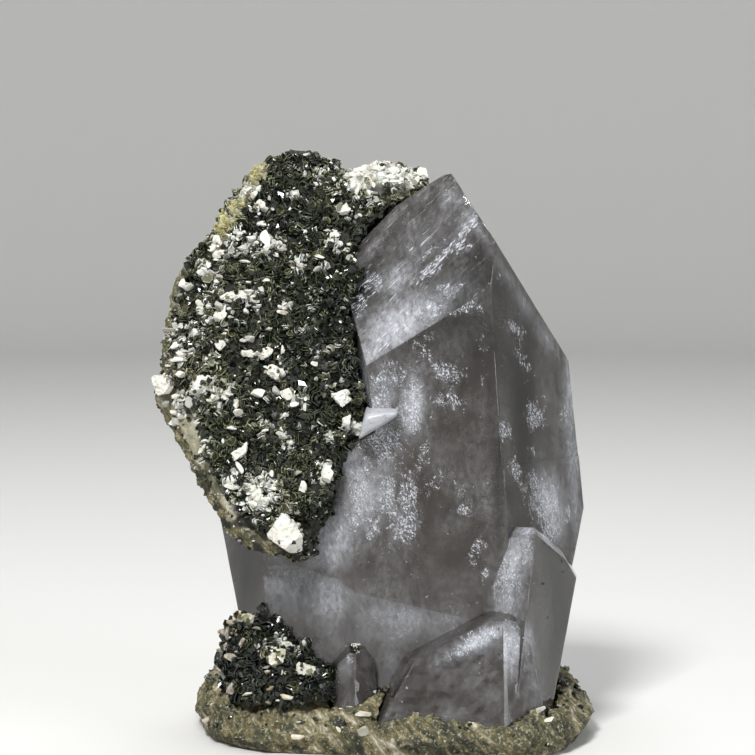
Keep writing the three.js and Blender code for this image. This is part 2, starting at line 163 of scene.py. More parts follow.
def in_order(bm):
    """Sorts the points by place and the faces by corner, as some operators leave them in any order."""
    by_place, by_corner = (lambda v: tuple(v.co)), (lambda f: sorted(v.index for v in f.verts))
    for items, key in ((bm.verts, by_place), (bm.faces, by_corner)):
        rank = {item: i for i, item in enumerate(sorted(items, key=key))}
        items.sort(key=rank.get)
        items.index_update()


def make_backdrop():
    bm = bmesh.new()
    flat = [bm.verts.new((0, 0, 0)), bm.verts.new((BOWL_RADIUS - BOWL_CORNER, 0, 0))]
    bm.edges.new(flat)
    centre = (BOWL_RADIUS - BOWL_CORNER, 0, BOWL_CORNER)
    quarter = bmesh.ops.spin(
        bm, geom=flat[1:], cent=centre, axis=(0, -1, 0), angle=math.pi / 2, steps=CORNER_STEPS
    )
    last = [v for v in quarter["geom_last"] if isinstance(v, bmesh.types.BMVert)]
    top = bmesh.ops.extrude_vert_indiv(bm, verts=last)["verts"]
    bmesh.ops.translate(bm, vec=(0, 0, BOWL_HEIGHT - BOWL_CORNER), verts=top)
    whole_turn = {"cent": (0, 0, 0), "axis": (0, 0, 1), "angle": 2 * math.pi, "steps": ROUND_STEPS}
    bmesh.ops.spin(bm, geom=bm.verts[:] + bm.edges[:], use_merge=True, **whole_turn)
    bmesh.ops.remove_doubles(bm, verts=bm.verts, dist=1e-5)
    bmesh.ops.recalc_face_normals(bm, faces=bm.faces)
    in_order(bm)
    mesh = mesh_of("backdrop", bm)
    mesh.shade_smooth()
    backdrop = add_object("backdrop", mesh)
    return backdrop


def make_lamp(name, at, size, watts, colour):
    data = bpy.data.lights.new(name, "AREA")
    data.shape, data.size, data.size_y = "RECTANGLE", size[0], size[1]
    data.energy, data.color = watts, colour
    lamp = add_object(name, data)
    lamp.location = at
    lamp.rotation_euler = (FRAME_MIDDLE - Vector(at)).to_track_quat("-Z", "Y").to_euler()
    return lamp


backdrop = make_backdrop()
for name, lamp in LAMPS.items():
    make_lamp(name, *lamp)
world = bpy.data.worlds.new("sky")
world.use_nodes = True
background = world.node_tree.nodes["Background"]
background.inputs["Color"].default_value = SKY_COLOUR
background.inputs["Strength"].default_value = SKY_STRENGTH
bpy.context.scene.world = world
bpy.context.scene.view_settings.view_transform = "Standard"

# %% [markdown]
# ## A short way to write a material
# Every finish below is a Principled shader with a few textures in front of it. This helper adds one node
# with its settings and its links in a single call, so each finish can be read as a list of what drives what.


# %% Material helper
class Finish:
    def __init__(self, name):
        self.material = bpy.data.materials.new(name)
        self.material.use_nodes = True
        self.tree = self.material.node_tree
        self.shader = self.tree.nodes["Principled BSDF"]
        self.output = self.tree.nodes["Material Output"]
        self.place = self.node("ShaderNodeTexCoord").outputs["Object"]

    def node(self, kind, settings=None, **inputs):
        """Settings are the node's own fields. Inputs are its sockets, by name, or by number as in _0."""
        made = self.tree.nodes.new(kind)
        for key, value in (settings or {}).items():
            setattr(made, key, value)
        for key, value in inputs.items():
            self.put(made.inputs[int(key[1:]) if key[1:].isdigit() else key.replace("_", " ")], value)
        return made

    def put(self, socket, value):
        """Links another node's output to a socket, or sets the socket to a plain value."""
        if isinstance(value, bpy.types.NodeSocket):
            self.tree.links.new(value, socket)
        else:
            socket.default_value = value

    def set(self, **inputs):
        for key, value in inputs.items():
            self.put(self.shader.inputs[key.replace("_", " ")], value)
        return self

    def noise(self, size, detail, rough, turn=(0, 0, 0), warp=0.0):
        """Noise in cells of that size in millimetres, alike or along x, y and z, turned by degrees."""
        size = size if isinstance(size, tuple) else (size, size, size)
        cells = self.node(
            "ShaderNodeMapping",
            {"vector_type": "TEXTURE"},
            Vector=self.place,
            Scale=[s * MM for s in size],
            Rotation=[math.radians(t) for t in turn],
        ).outputs[0]
        settings = {"Detail": detail, "Roughness": rough, "Distortion": warp}
        return self.node("ShaderNodeTexNoise", Vector=cells, Scale=1, **settings).outputs["Fac"]

    def ramp(self, value, stops):
        """Turns a value into a grey or a colour, by stops from 0 to 1."""
        made = self.node("ShaderNodeValToRGB", Fac=value)
        elements = made.color_ramp.elements
        while len(elements) < len(stops):
            elements.new(0.5)
        for element, (at, colour) in zip(elements, stops):
            element.position = at
            element.color = (*colour, 1) if isinstance(colour, tuple) else (colour, colour, colour, 1)
        return made.outputs["Color"]

    def math(self, operation, a, b, clamp=False):
        made = self.node("ShaderNodeMath", {"operation": operation, "use_clamp": clamp}, _0=a, _1=b)
        return made.outputs[0]

    def times(self, a, b):
        return self.math("MULTIPLY", a, b)

    def plus(self, a, b):
        return self.math("ADD", a, b)

    def most(self, a, b, clamp=False):
        return self.math("MAXIMUM", a, b, clamp)

    def mix(self, amount, a, b, blend="MIX"):
        made = self.node("ShaderNodeMix", {"data_type": "RGBA", "blend_type": blend})
        self.put(made.inputs[0], amount)
        self.put(made.inputs[6], a)
        self.put(made.inputs[7], b)
        return made.outputs[2]

    def attribute(self, name):
        return self.node("ShaderNodeAttribute", {"attribute_name": name}).outputs["Fac"]

    def bump(self, height, distance, strength=1.0, normal=None):
        made = self.node("ShaderNodeBump", Height=height, Distance=distance, Strength=strength)
        if normal is not None:
            self.put(made.inputs["Normal"], normal)
        return made.outputs["Normal"]


def rgb(r, g, b):
    return (r, g, b, 1.0)


# %% Backdrop finish
paper = Finish("pale_paper")
paper.set(Base_Color=rgb(0.66, 0.66, 0.65), Roughness=0.85)
backdrop.data.materials.append(paper.material)
print("backdrop painted")

# %% [markdown]
# ## Working on a copy of a solid
# The plain model's solids arrive as loose triangles, so a copy is merged into one closed skin before any
# tool can bevel or smooth it. Crystals keep their flat faces and only get finer triangles. Broken rock gets
# an even skin of small squares from a voxel remesh, which can then be roughened everywhere alike.


# %% Copies, skins and pieces
MERGE = 0.01 * MM


def merged_copy(node):
    bm = working_copy(nodes[node].data)
    bmesh.ops.remove_doubles(bm, verts=bm.verts, dist=MERGE)
    return bm


def everything(bm):
    return bm.verts[:] + bm.edges[:] + bm.faces[:]


def slice_up(bm, spacing):
    """Cuts every face along planes that far apart, across all three directions."""
    for axis in range(3):
        places = [v.co[axis] for v in bm.verts]
        low, high = min(places), max(places)
        way = Vector([float(i == axis) for i in range(3)])
        for i in range(1, math.ceil((high - low) / spacing)):
            at = way * (low + i * spacing)
            bmesh.ops.bisect_plane(bm, geom=everything(bm), plane_co=at, plane_no=way, dist=1e-7)
    bmesh.ops.triangulate(bm, faces=bm.faces)


def even_skin(bm, voxel):
    mesh = mesh_of("skin", bm)
    body = add_object("skin", mesh)
    remesh = body.modifiers.new("even squares", "REMESH")
    remesh.mode, remesh.voxel_size = "VOXEL", voxel
    bpy.context.view_layer.update()
    skin = bmesh.new()
    skin.from_object(body, bpy.context.evaluated_depsgraph_get())
    bpy.data.objects.remove(body)
    bpy.data.meshes.remove(mesh)
    return skin


def smooth(bm, rounds):
    for _ in range(rounds):
        bmesh.ops.smooth_vert(
            bm, verts=bm.verts, factor=0.5, use_axis_x=True, use_axis_y=True, use_axis_z=True
        )


def cut_off(bm, at, way):
    """Cuts away what lies past a plane and closes the flat break."""
    cut = bmesh.ops.bisect_plane(bm, geom=everything(bm), plane_co=at, plane_no=way, clear_outer=True)
    rim = [e for e in cut["geom_cut"] if isinstance(e, bmesh.types.BMEdge)]
    bmesh.ops.holes_fill(bm, edges=rim)


def add_piece(name, mesh, finish, replaces=(), sharp=None):
    if isinstance(mesh, bmesh.types.BMesh):
        mesh = mesh_of(name, mesh)
    mesh.materials.clear()
    mesh.materials.append(finish.material)
    mesh.shade_smooth()
    if sharp is not None:
        mesh.set_sharp_from_angle(angle=math.radians(sharp))
    piece = add_object(name, mesh)
    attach(piece, "root")
    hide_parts(*replaces)
    print(name, "triangles:", sum(len(p.vertices) - 2 for p in mesh.polygons))
    return piece


# %% [markdown]
# ## Marks on a surface
# Milky patches, veils of tiny cracks and clear dark windows sit at their own places on the quartz, and the
# windows' table also holds painted shade. Each is a soft oval in a table: its middle in millimetres, its half
# length and half width, how far its length turns up from the right, and how strong it is. The tables are
# painted into attributes of the mesh, so the finish can read them, and a mark stays on the crystal face that
# it starts on.


# %% Painting attributes
# How deep a mark reaches, how nearly faces that share one point the same way, how softly that ends, and how
# fast a mark fades from its middle.
MARK_DEPTH, SAME_FACE, FACE_BLEND, MARK_FADE = 7.0, 0.93, 0.05, 0.9


def read_floats(collection, field, width):
    values = np.empty(len(collection) * width, np.float32)
    collection.foreach_get(field, values)
    return values.reshape(-1, width)


def corners_of(mesh):
    index = np.empty(len(mesh.loops), np.int32)
    mesh.loops.foreach_get("vertex_index", index)
    place = read_floats(mesh.vertices, "co", 3)[index] / MM
    normal = np.repeat(read_floats(mesh.polygons, "normal", 3), 3, axis=0)
    return place, normal


def facing(normal, ways, start, blend):
    """How nearly each face points one of these ways: 0 up to the start, and 1 from a blend past it."""
    nearest = np.max([normal @ np.array(way) for way in ways], axis=0)
    return np.clip((nearest - start) / blend, 0, 1)


def marks(mesh, table):
    place, normal = corners_of(mesh)
    tree = tree_of(mesh)
    total = np.zeros(len(place), np.float32)
    for x, y, z, long, wide, turn, strength in table:
        home = tree.find_nearest(Vector((x, y, z)) * MM)[1]
        away = place - (x, y, z)
        c, s = math.cos(math.radians(turn)), math.sin(math.radians(turn))
        along, across = away[:, 0] * c + away[:, 2] * s, away[:, 2] * c - away[:, 0] * s
        far = (along / long) ** 2 + (across / wide) ** 2 + (away[:, 1] / MARK_DEPTH) ** 2
        same_face = facing(normal, [home], SAME_FACE, FACE_BLEND)
        total = np.maximum(total, strength * same_face * np.exp(-MARK_FADE * far))
    return total


def paint(mesh, name, values, domain="CORNER"):
    made = mesh.attributes.new(name, "FLOAT", domain)
    made.data.foreach_set("value", np.asarray(values, np.float32))
    print("painted", name, "mean", round(float(np.mean(values)), 3))


def rough_up(bm, height, size, seed, inward_only=False, keep=None):
    """Moves the skin along its normals by noise of that height and size, but not where it is kept."""
    bm.normal_update()
    shift = Vector((seed * 7.3, seed * 3.1, seed * 5.7))
    for v in bm.verts:
        if keep is not None and keep(v.co):
            continue
        value = noise.fractal(v.co / size + shift, 0.9, 2.1, 4, noise_basis="PERLIN_ORIGINAL")
        if inward_only:
            value = -abs(value)
        v.co += v.normal * value * height


# %% [markdown]
# ## The quartz
# The crystals have flat faces with crisp edges, so their skin is the plain solid's, with a hair-thin bevel
# on each long edge to catch a line of light, and ragged stretches of the bevel are painted whiter, partly as
# chipped edges and partly as a painted highlight. Inside they are smoky and hazy rather than clear: milky
# clouds near the tip and along the plate, veils of sparkling cracks, and dark windows where the eye goes
# through, some of which are painted shade on faces turned away from the lamp.

# %% Marks on the quartz
# Sparkling veils of tiny cracks.
VEILS = [
    (16.1, -17, 116.6, 11.6, 1, 45, 1), (23.1, -16.3, 124.5, 3.4, 1.2, 50, 1),
    (12.5, -15.2, 117.3, 5.3, 0.7, 43, 0.7), (6.3, -9, 124.1, 2.2, 0.5, 42, 0.6),
    (14.4, -17.6, 113.5, 2.4, 1.2, 50, 0.8), (18.4, -10, 133.1, 2.4, 1, 48, 0.5),
    (14.1, -21.9, 104.2, 3.8, 2.4, 0, 0.8), (17.4, -21.4, 108.5, 3.4, 1.9, 20, 0.7),
    (21.4, -24.3, 104.8, 3.8, 1.9, 20, 0.9), (24.3, -24.8, 105.5, 2.4, 1.9, 30, 0.7),
    (21.1, -18.2, 118.4, 1.9, 3.4, 90, 0.6), (8.5, -12.9, 118.2, 1.9, 1.5, 30, 0.7),
    (13.4, -23.4, 97.8, 2.1, 1.9, 0, 0.9), (2.2, -9.2, 119.7, 3.9, 1.2, 50, 0.4),
    (-0.8, -12.5, 110.4, 3, 2.8, 60, 1), (-3.6, -13.2, 106, 4.5, 2.6, 75, 0.95),
    (3.1, -22.3, 87.9, 5.3, 3.4, 20, 0.8), (0.9, -22.4, 81.4, 3.8, 5.3, 80, 0.8),
    (9.1, -23.8, 80.8, 6.2, 2.4, 85, 1), (16.5, -24.5, 89.3, 4.3, 2.4, -20, 0.9),
    (17.9, -25.3, 82.6, 3.8, 2.4, -10, 0.8), (26.4, -26.4, 87.8, 1.4, 1.4, 0, 0.6),
    (17.4, -25.5, 78.1, 1.4, 1, 0, 0.7), (14.1, -24.8, 79.7, 1.2, 1, 0, 0.6),
    (2.1, -23.2, 73, 4.8, 5.3, 60, 0.9), (-2.9, -22.8, 65.8, 5.3, 3.4, 80, 0.6),
    (-3.1, -23.2, 60.2, 5.8, 2.9, 80, 0.9), (3.1, -24.2, 60.4, 4.8, 2.2, 75, 0.9),
    (7.9, -25.1, 59.8, 5.8, 2.4, 80, 1), (-4.8, -23.3, 54, 2.9, 1.9, 80, 0.9),
    (0.2, -24.3, 52.2, 3.4, 1.7, 70, 0.9), (7.2, -25.5, 52.4, 3.8, 3.6, 60, 0.9),
    (15.7, -26.2, 64.7, 3.3, 1.4, 30, 0.5), (13.4, -26, 61.6, 2.4, 2.4, 60, 0.6),
    (20.7, -27.3, 61.7, 1.9, 1.2, 80, 0.6), (21.5, -27.7, 56.8, 2.9, 1.7, -30, 0.7),
    (24.3, -28.9, 47.3, 3.3, 1.7, 80, 0.9), (26.4, -29.7, 41.4, 2.2, 1, 85, 0.9),
    (1.9, -25, 46.5, 1.4, 0.7, 85, 0.7), (31, -26, 75.5, 2.4, 1.9, -60, 0.9),
    (39.2, -13, 78, 3.9, 2.9, -40, 0.9), (34, -24, 66.1, 3.8, 1.9, -70, 0.8),
    (38.5, -17.8, 62, 3.4, 2.2, -60, 0.8), (41.7, -14, 55.6, 5.9, 5.4, -50, 1),
    (48.2, -4.3, 53.5, 3, 1.2, 90, 0.8), (42.7, -13.5, 49.6, 4.4, 3.4, 60, 0.9),
    (38.6, -15.5, 69.3, 1.9, 1.9, 0, 0.4), (34.2, -16.8, 99.3, 3.4, 1.2, -30, 0.9),
    (30.1, -21, 111.5, 1.9, 0.7, 80, 0.6), (41.3, -8.9, 82.3, 2, 1, -40, 0.6),
    (46.5, -2, 76.2, 3.5, 1.7, 85, 0.6), (26.4, -25.7, 97.3, 5.7, 1.2, 88, 0.4),
    (30.8, -22, 99.4, 4.8, 1, 88, 0.3), (32.2, -32.8, 41.9, 8.1, 3.8, 75, 0.8),
    (36.4, -34, 49.3, 2.8, 2.8, 0, 0.8), (24.4, -41.6, 28, 8, 1.9, 28, 0.9),
    (30.6, -42.8, 27, 4.2, 3.3, 75, 0.7), (34.3, -40, 27.7, 4.7, 1.9, -70, 0.5),
    (-6.1, -33.3, 21.9, 1.7, 1.2, 60, 0.9), (10, 25, 95, 12, 5, 60, 0.8), (30, 27, 60, 14, 6, 80, 0.7),
    (-8, 25, 62, 9, 6, 100, 0.8), (-30, 5, 60, 7, 5, 90, 0.6), (50, 8, 66, 5, 9, 0, 0.5),
    (36.5, -20.5, 60, 15, 1.8, -66, 0.5), (12, -25, 70, 14, 1.6, 78, 0.4), (6, -24.5, 58, 13, 6, 80, 0.42),
    (12, -23, 93, 12, 2.2, -50, 0.42), (20, -27, 62, 9, 1.4, -60, 0.42), (36, -16, 92, 13, 1.6, -60, 0.42),
]
# Milky clouds.
CLOUDS = [
    (6, -20.2, 100.5, 12.5, 5.2, 33, 0.88), (-1, -20.2, 94, 4.8, 2.9, 60, 0.8),
    (5.8, -15, 111.5, 4.4, 3.4, 30, 0.5), (11.1, -12.9, 120.6, 9.7, 4, 45, 0.22),
    (8, -7, 128.5, 9, 4, 42, 0.15), (18.9, -11.3, 131.4, 4.4, 4.4, 0, 0.2),
    (21.7, -13.6, 128.8, 6, 1, -57, 0.3), (26.3, -19.4, 121.3, 7, 1.1, -57, 0.3),
    (30.9, -19.4, 113.6, 8, 1.4, -57, 0.33), (36.4, -12.5, 105.3, 8, 1.8, -57, 0.33),
    (42.2, -5, 96.2, 7.5, 2.2, -58, 0.36), (-0.5, -8.7, 118.5, 6.8, 1, 52, 0.35),
    (5.1, -7.5, 126.5, 5.4, 1, 48, 0.35), (-3.9, -11.1, 110.8, 3.9, 0.6, 75, 0.35),
    (-2, -15.6, 103.1, 3.4, 0.5, 38, 0.5), (23.1, -15.1, 126.7, 4.3, 1.6, 50, 0.4),
    (-6.5, -22, 67.6, 3.8, 3.4, 90, 0.8), (-9.9, -22.8, 48.8, 6.8, 5.3, 80, 0.8),
    (-2.2, -23.3, 61, 9.6, 5.8, 80, 0.45), (0.9, -22.4, 81.4, 8.6, 4.8, 85, 0.45),
    (9.1, -23.8, 80.8, 6.7, 2.9, 85, 0.6), (49.1, 2.6, 80.2, 12.5, 2, 90, 0.6),
    (49.7, -0.3, 63, 12.5, 2.2, 90, 0.5), (39, -8, 106, 13, 1.8, -58, 0.5),
    (43.6, -10.9, 56.9, 8.4, 5.9, -60, 0.7), (40.9, -27, 49.9, 4.4, 2.4, -45, 1),
    (33.4, -32.6, 45.5, 7.1, 3.3, 75, 0.7), (31.9, -34.6, 36.3, 6.2, 3.3, 80, 0.6),
    (36.5, -31.2, 52.5, 2.9, 1.9, 0, 0.8), (40.7, -31.1, 35.6, 12, 4.3, 80, 0.08),
    (-15.4, -23.2, 36.7, 16.9, 5.3, -12, 0.32), (-25.1, -21.2, 38.8, 8.2, 2.9, 88, 0.2),
    (6.2, -27.4, 30.2, 14.4, 3.4, -6, 0.3), (30.6, -42.6, 26.5, 8, 6.5, 20, 0.7),
    (24.8, -41.7, 28, 8, 1.4, 28, 0.9), (35.7, -39.6, 27.6, 6.1, 1.9, -70, 0.6),
    (-6.9, -32.9, 20.3, 3.2, 1.7, 70, 0.4), (3, -23.5, 67, 9, 4, 80, 0.25),
    (-1.6, -19.6, 84.5, 13, 3, 88, 0.7), (-32.9, -11.6, 39.7, 7.4, 3, 85, 0.05),
    (12, 26, 90, 20, 12, 70, 0.5), (32, 28, 50, 22, 12, 80, 0.4), (-14, 24, 50, 18, 10, 90, 0.5),
    (-28, 2, 70, 12, 7, 90, 0.5), (5, 36, 28, 12, 10, 0, 0.6),
]
# Dark, clear windows, and painted shade: the broad marks on the right faces and low on the left, and the one
# on the little crystal's blunt top.
WINDOWS_AND_SHADE = [
    (-3.7, -12.7, 107.3, 8.3, 3.2, 80, 1), (-4.4, -14.4, 96.4, 4.8, 1.9, 80, 0.7),
    (1.5, -5, 123, 8, 2, 52, 0.5), (2.4, -22.3, 86.2, 5.7, 3.8, 30, 0.6),
    (30, -28.4, 68.8, 16.7, 0.7, 88, 0.9), (28.1, -27, 83, 9.5, 0.8, 88, 0.5),
    (20.5, -24.9, 94.8, 11.9, 9.5, 20, 0.35), (-5.8, -23.6, 47.7, 3.9, 1.9, 60, 0.6),
    (-20.8, -22.8, 34.7, 6.3, 2.9, 0, 0.8), (22.5, -41.7, 26.1, 6.1, 1.9, 25, 0.9),
    (32.6, -34.4, 38.6, 5.7, 1.4, 75, 0.8), (34.5, -34, 44.5, 3.3, 1.2, 70, 0.9),
    (-7.5, -16.3, 74.7, 2.9, 2.4, 0, 0.6), (16.9, -27, 56.2, 6.2, 1.9, 20, 0.3),
    (25.2, -20.5, 111.5, 9, 6.5, 70, 0.7), (20, -24.5, 101, 14, 6, 25, 0.55), (38, -18, 84, 26, 9, 80, 1),
    (43, -25, 31, 20, 7, 82, 1), (-4.4, -31, 23.7, 4, 2.5, 0, 1), (44, -26, 42, 8, 4, 60, 0.6),
    (-31, -14, 38, 17, 6, 85, 1), (20, -20, 106, 7, 4, 20, 0.8), (27, -22, 100, 12, 8, 80, 0.6),
]
print("marks:", len(VEILS), "veils,", len(CLOUDS), "clouds,", len(WINDOWS_AND_SHADE), "windows")

# %% [markdown]
# Two kinds of face get a little more. The one under the tip is striated, with fine growth lines along it, and
# the shallow wedges at the foot are milkier. Such a face is found by the way that it points, because its
# number in the mesh changes whenever the mesh is cut in another way.

# %% Faces with a finish of their own
# The way that the face under the tip points.
TIP_FACE = Vector((-0.347, -0.860, 0.375))
# How far the growth lines on that face are turned, in degrees.
TIP_TURN = (0, -44.5, 0)
# The way that each shallow wedge at the foot of the shown face points, from its turn and lean in degrees.
WEDGE_TURNS = [(-10, 11), (-8, 10.7), (-6, 9.8), (-8.6, 10.9)]
WEDGE_FACES = [
    (
        math.sin(math.radians(turn)) * math.cos(math.radians(lean)),
        -math.cos(math.radians(turn)) * math.cos(math.radians(lean)),
        math.sin(math.radians(lean)),
    )
    for turn, lean in WEDGE_TURNS
]
# How nearly a face has to point that way to count as the tip's or a wedge's, and how softly that ends.
TIP_LIMITS, WEDGE_LIMITS = (0.98, 0.015), (0.9975, 0.001)
print("ways for the tip: 1, and for the wedges:", len(WEDGE_FACES))


# %% Quartz skin
EDGE_BEVEL = 0.2 * MM
QUARTZ_SLICE = 1.7 * MM


def takes_bevel(edge):
    """A long ridge whose two faces are both wide enough to give way to a bevel."""
    wide = min(f.calc_area() for f in edge.link_faces) > 4 * EDGE_BEVEL * edge.calc_length()
    ridge = edge.is_convex and math.radians(15) < edge.calc_face_angle(0) < math.radians(110)
    return wide and ridge and edge.calc_length() > 5 * MM


def make_quartz():
    bm = merged_copy("quartz_crystals")
    edge_wear_and_highlight = bm.faces.layers.float.new("edge")
    bmesh.ops.dissolve_limit(bm, angle_limit=math.radians(0.4), verts=bm.verts, edges=bm.edges)
    ridges = [e for e in bm.edges if takes_bevel(e)]
    print("edges to bevel:", len(ridges), "of", len(bm.edges))
    strips = bmesh.ops.bevel(
        bm, geom=ridges, offset=EDGE_BEVEL, affect="EDGES", segments=2, profile=0.5, material=-1,
        clamp_overlap=False,
    )["faces"]
    for face in strips:
        face[edge_wear_and_highlight] = 1.0
    slice_up(bm, QUARTZ_SLICE)
    bmesh.ops.dissolve_degenerate(bm, dist=0.01 * MM, edges=bm.edges)
    bmesh.ops.triangulate(bm, faces=[f for f in bm.faces if len(f.verts) > 3])
    in_order(bm)
    rough_up(bm, 0.05 * MM, 6 * MM, seed=1, keep=lambda at: at.z < 7 * MM)
    mesh = mesh_of("quartz_cluster", bm)
    for name, table in (("veil", VEILS), ("cloud", CLOUDS), ("window_and_shade", WINDOWS_AND_SHADE)):
        paint(mesh, name, marks(mesh, table))
    _, normal = corners_of(mesh)
    paint(mesh, "tip", facing(normal, [TIP_FACE], *TIP_LIMITS))
    paint(mesh, "wedge", facing(normal, WEDGE_FACES, *WEDGE_LIMITS))
    return mesh


# %% [markdown]
# The finish is one Principled shader that lets light through, with the bending power of quartz, and a plain
# absorption inside, so thick parts get darker and browner as smoky quartz does. Where the clouds are, less
# light goes through and more is scattered back. The growth lines of the tip are stretched noise, turned to
# run up the face.


# %% Quartz finish
def quartz_finish():
    f = Finish("smoky_quartz")
    veil, cloud, window_and_shade, tip, wedge = (f.attribute(n) for n in ("veil", "cloud", "window_and_shade", "tip", "wedge"))
    clear = f.math("SUBTRACT", 1.0, window_and_shade)
    drift = f.noise((9, 9, 14), 5, 0.6)
    wisps = f.noise((1.5, 1.5, 5), 4, 0.65, (0, -22, 0), warp=0.8)
    mottle = f.noise((1.1, 1.1, 1.6), 6, 0.7, warp=0.4)
    # Streaks on the face under the tip lie along it, and stand steep on the others.
    lines = f.noise((11, 0.8, 0.8), 4, 0.6, TIP_TURN)
    hairs = f.noise((6, 0.4, 0.4), 2, 0.6, TIP_TURN)
    specks = f.noise((0.35, 0.35, 0.6), 3, 0.8, (0, -18, 0), warp=0.5)
    dashes = f.noise((1.6, 0.3, 0.3), 3, 0.8, TIP_TURN, warp=0.4)
    specks = f.mix(tip, specks, dashes)
    curls = f.noise((2.6, 1.1, 1.1), 2, 0.5, (0, 40, 0), warp=0.9)
    sweeps = f.noise((5, 1.1, 1.1), 2, 0.5, TIP_TURN, warp=0.6)
    curls = f.math("ABSOLUTE", f.math("SUBTRACT", f.mix(tip, curls, sweeps), 0.5), 0.0)
    curls = f.times(f.ramp(curls, [(0.0, 1.0), (0.03, 0.0)]), f.ramp(specks, [(0.4, 0.0), (0.52, 0.9)]))
    # A veil is ragged: its soft oval is only where shreds may be.
    ragged = f.noise((2.2, 2.2, 3.8), 5, 0.7, (0, -22, 0), warp=0.8)
    shreds = f.plus(f.times(veil, 1.1), f.times(f.math("SUBTRACT", ragged, 0.5), 2.6))
    shreds = f.ramp(shreds, [(0.35, 0.0), (0.8, 1.0)])
    shreds = f.times(shreds, f.ramp(veil, [(0.03, 0.0), (0.25, 1.0)]))
    sparks = f.ramp(f.plus(specks, f.times(shreds, 0.12)), [(0.65, 0.0), (0.71, 1.0)])
    sparks = f.most(sparks, curls)
    sparks = f.times(sparks, f.ramp(shreds, [(0.0, 0.0), (0.4, 1.0)]))
    # Dust and flecks are strewn through the whole crystal, thicker in some parts than in others.
    dust = f.times(f.ramp(specks, [(0.66, 0.0), (0.74, 0.6)]), f.ramp(drift, [(0.4, 0.1), (0.6, 1.0)]))
    flecks = f.ramp(f.noise((0.7, 0.7, 1.0), 2, 0.5, (0, -30, 0)), [(0.69, 0.0), (0.75, 0.55)])
    flecks = f.times(flecks, f.ramp(ragged, [(0.46, 0.0), (0.56, 1.0)]))
    sparks = f.most(sparks, f.times(f.most(dust, flecks), clear))
    clouds = f.times(cloud, f.ramp(wisps, [(0.25, 0.35), (0.65, 0.8)]))
    clouds = f.times(clouds, f.ramp(mottle, [(0.3, 0.6), (0.65, 1.15)]))
    clouds = f.plus(clouds, f.times(shreds, 0.07))
    clouds = f.plus(clouds, f.times(wedge, 0.07))
    stripes = f.most(f.ramp(lines, [(0.56, 0.0), (0.72, 0.18)]), f.ramp(hairs, [(0.63, 0.0), (0.69, 0.4)]))
    stripes = f.times(f.times(stripes, tip), f.ramp(ragged, [(0.42, 0.1), (0.58, 1.0)]))
    stripes = f.times(stripes, clear)
    haze = f.times(f.ramp(drift, [(0.38, 0.0), (0.75, 0.18)]), clear)
    haze = f.times(haze, f.ramp(mottle, [(0.35, 0.4), (0.65, 1.5)]))
    # Ragged stretches of the bevel strips are whiter: partly chipped edges, partly a painted highlight along
    # the edge.
    edge_wear_and_highlight = f.times(f.attribute("edge"), f.ramp(ragged, [(0.42, 0.0), (0.64, 0.24)]))
    sparks = f.most(sparks, f.times(edge_wear_and_highlight, clear))
    white = f.plus(f.plus(clouds, haze), stripes)
    white = f.most(white, sparks, clamp=True)
    # The windows make the smoky colour dark: clear dark quartz, and painted shade where their table puts
    # shade.
    smoky = f.mix(window_and_shade, rgb(0.295, 0.262, 0.235), rgb(0.055, 0.055, 0.052))
    smoky = f.mix(f.ramp(mottle, [(0.35, 0.3), (0.6, 0.0)]), smoky, rgb(0.10, 0.09, 0.085))
    f.set(
        Base_Color=f.mix(f.ramp(white, [(0.0, 0.0), (0.25, 0.6), (0.6, 1.0)]), smoky, rgb(0.67, 0.70, 0.77)),
        Transmission_Weight=f.ramp(white, [(0.0, 0.88), (0.5, 0.5), (1.0, 0.15)]),
        Roughness=f.ramp(f.plus(white, f.times(drift, 0.3)), [(0.1, 0.04), (0.9, 0.30)]),
        IOR=1.54,
    )
    ripple = f.times(f.noise((14, 0.6, 0.6), 3, 0.6, TIP_TURN), tip)
    bump = f.bump(ripple, 0.2 * MM, 0.8)
    bump = f.bump(f.noise((5, 5, 9), 1, 0.5), 0.1 * MM, 0.4, bump)
    f.set(Normal=bump)
    smoke = f.node("ShaderNodeVolumeAbsorption", Color=rgb(0.46, 0.435, 0.40), Density=110.0)
    f.put(f.output.inputs["Volume"], smoke.outputs[0])
    return f


quartz = add_piece(
    "quartz_cluster", make_quartz(), quartz_finish(), replaces=["quartz_crystals"], sharp=9
)

# %% [markdown]
# ## The plate's own directions
# The mica plate leans back against the quartz. Its places are easier to give across it, up it and out of
# its shown side, as on a tilted drawing board, so this matrix turns such places into the specimen's.

# %% Plate frame
# As in the plain model, the plate is turned 2.6 degrees to the left and leans back by 20.6 degrees.
PLATE_OUT = Vector((-0.04246, -0.93510, 0.35184))
PLATE_UP = Vector((0.01596, 0.35148, 0.93606))
PLATE_RIGHT = PLATE_UP.cross(PLATE_OUT)
PLATE_MIDDLE = Vector((-28.1, -14.7, 94.0)) * MM
plate_frame = Matrix((PLATE_RIGHT, PLATE_UP, PLATE_OUT)).transposed().to_4x4()
plate_frame.translation = PLATE_MIDDLE
plate_inverse = plate_frame.inverted()
print("plate:", plate_frame.translation)

# %% [markdown]
# ## The rock
# The rock behind the mica and under the quartz is feldspar, stained cream, ochre and olive, and broken
# rather than crystallised. A voxel remesh gives it an even skin, and two sizes of noise push that skin
# inwards only, so that the rock stays inside its plain solid and its cut foot stays flat.


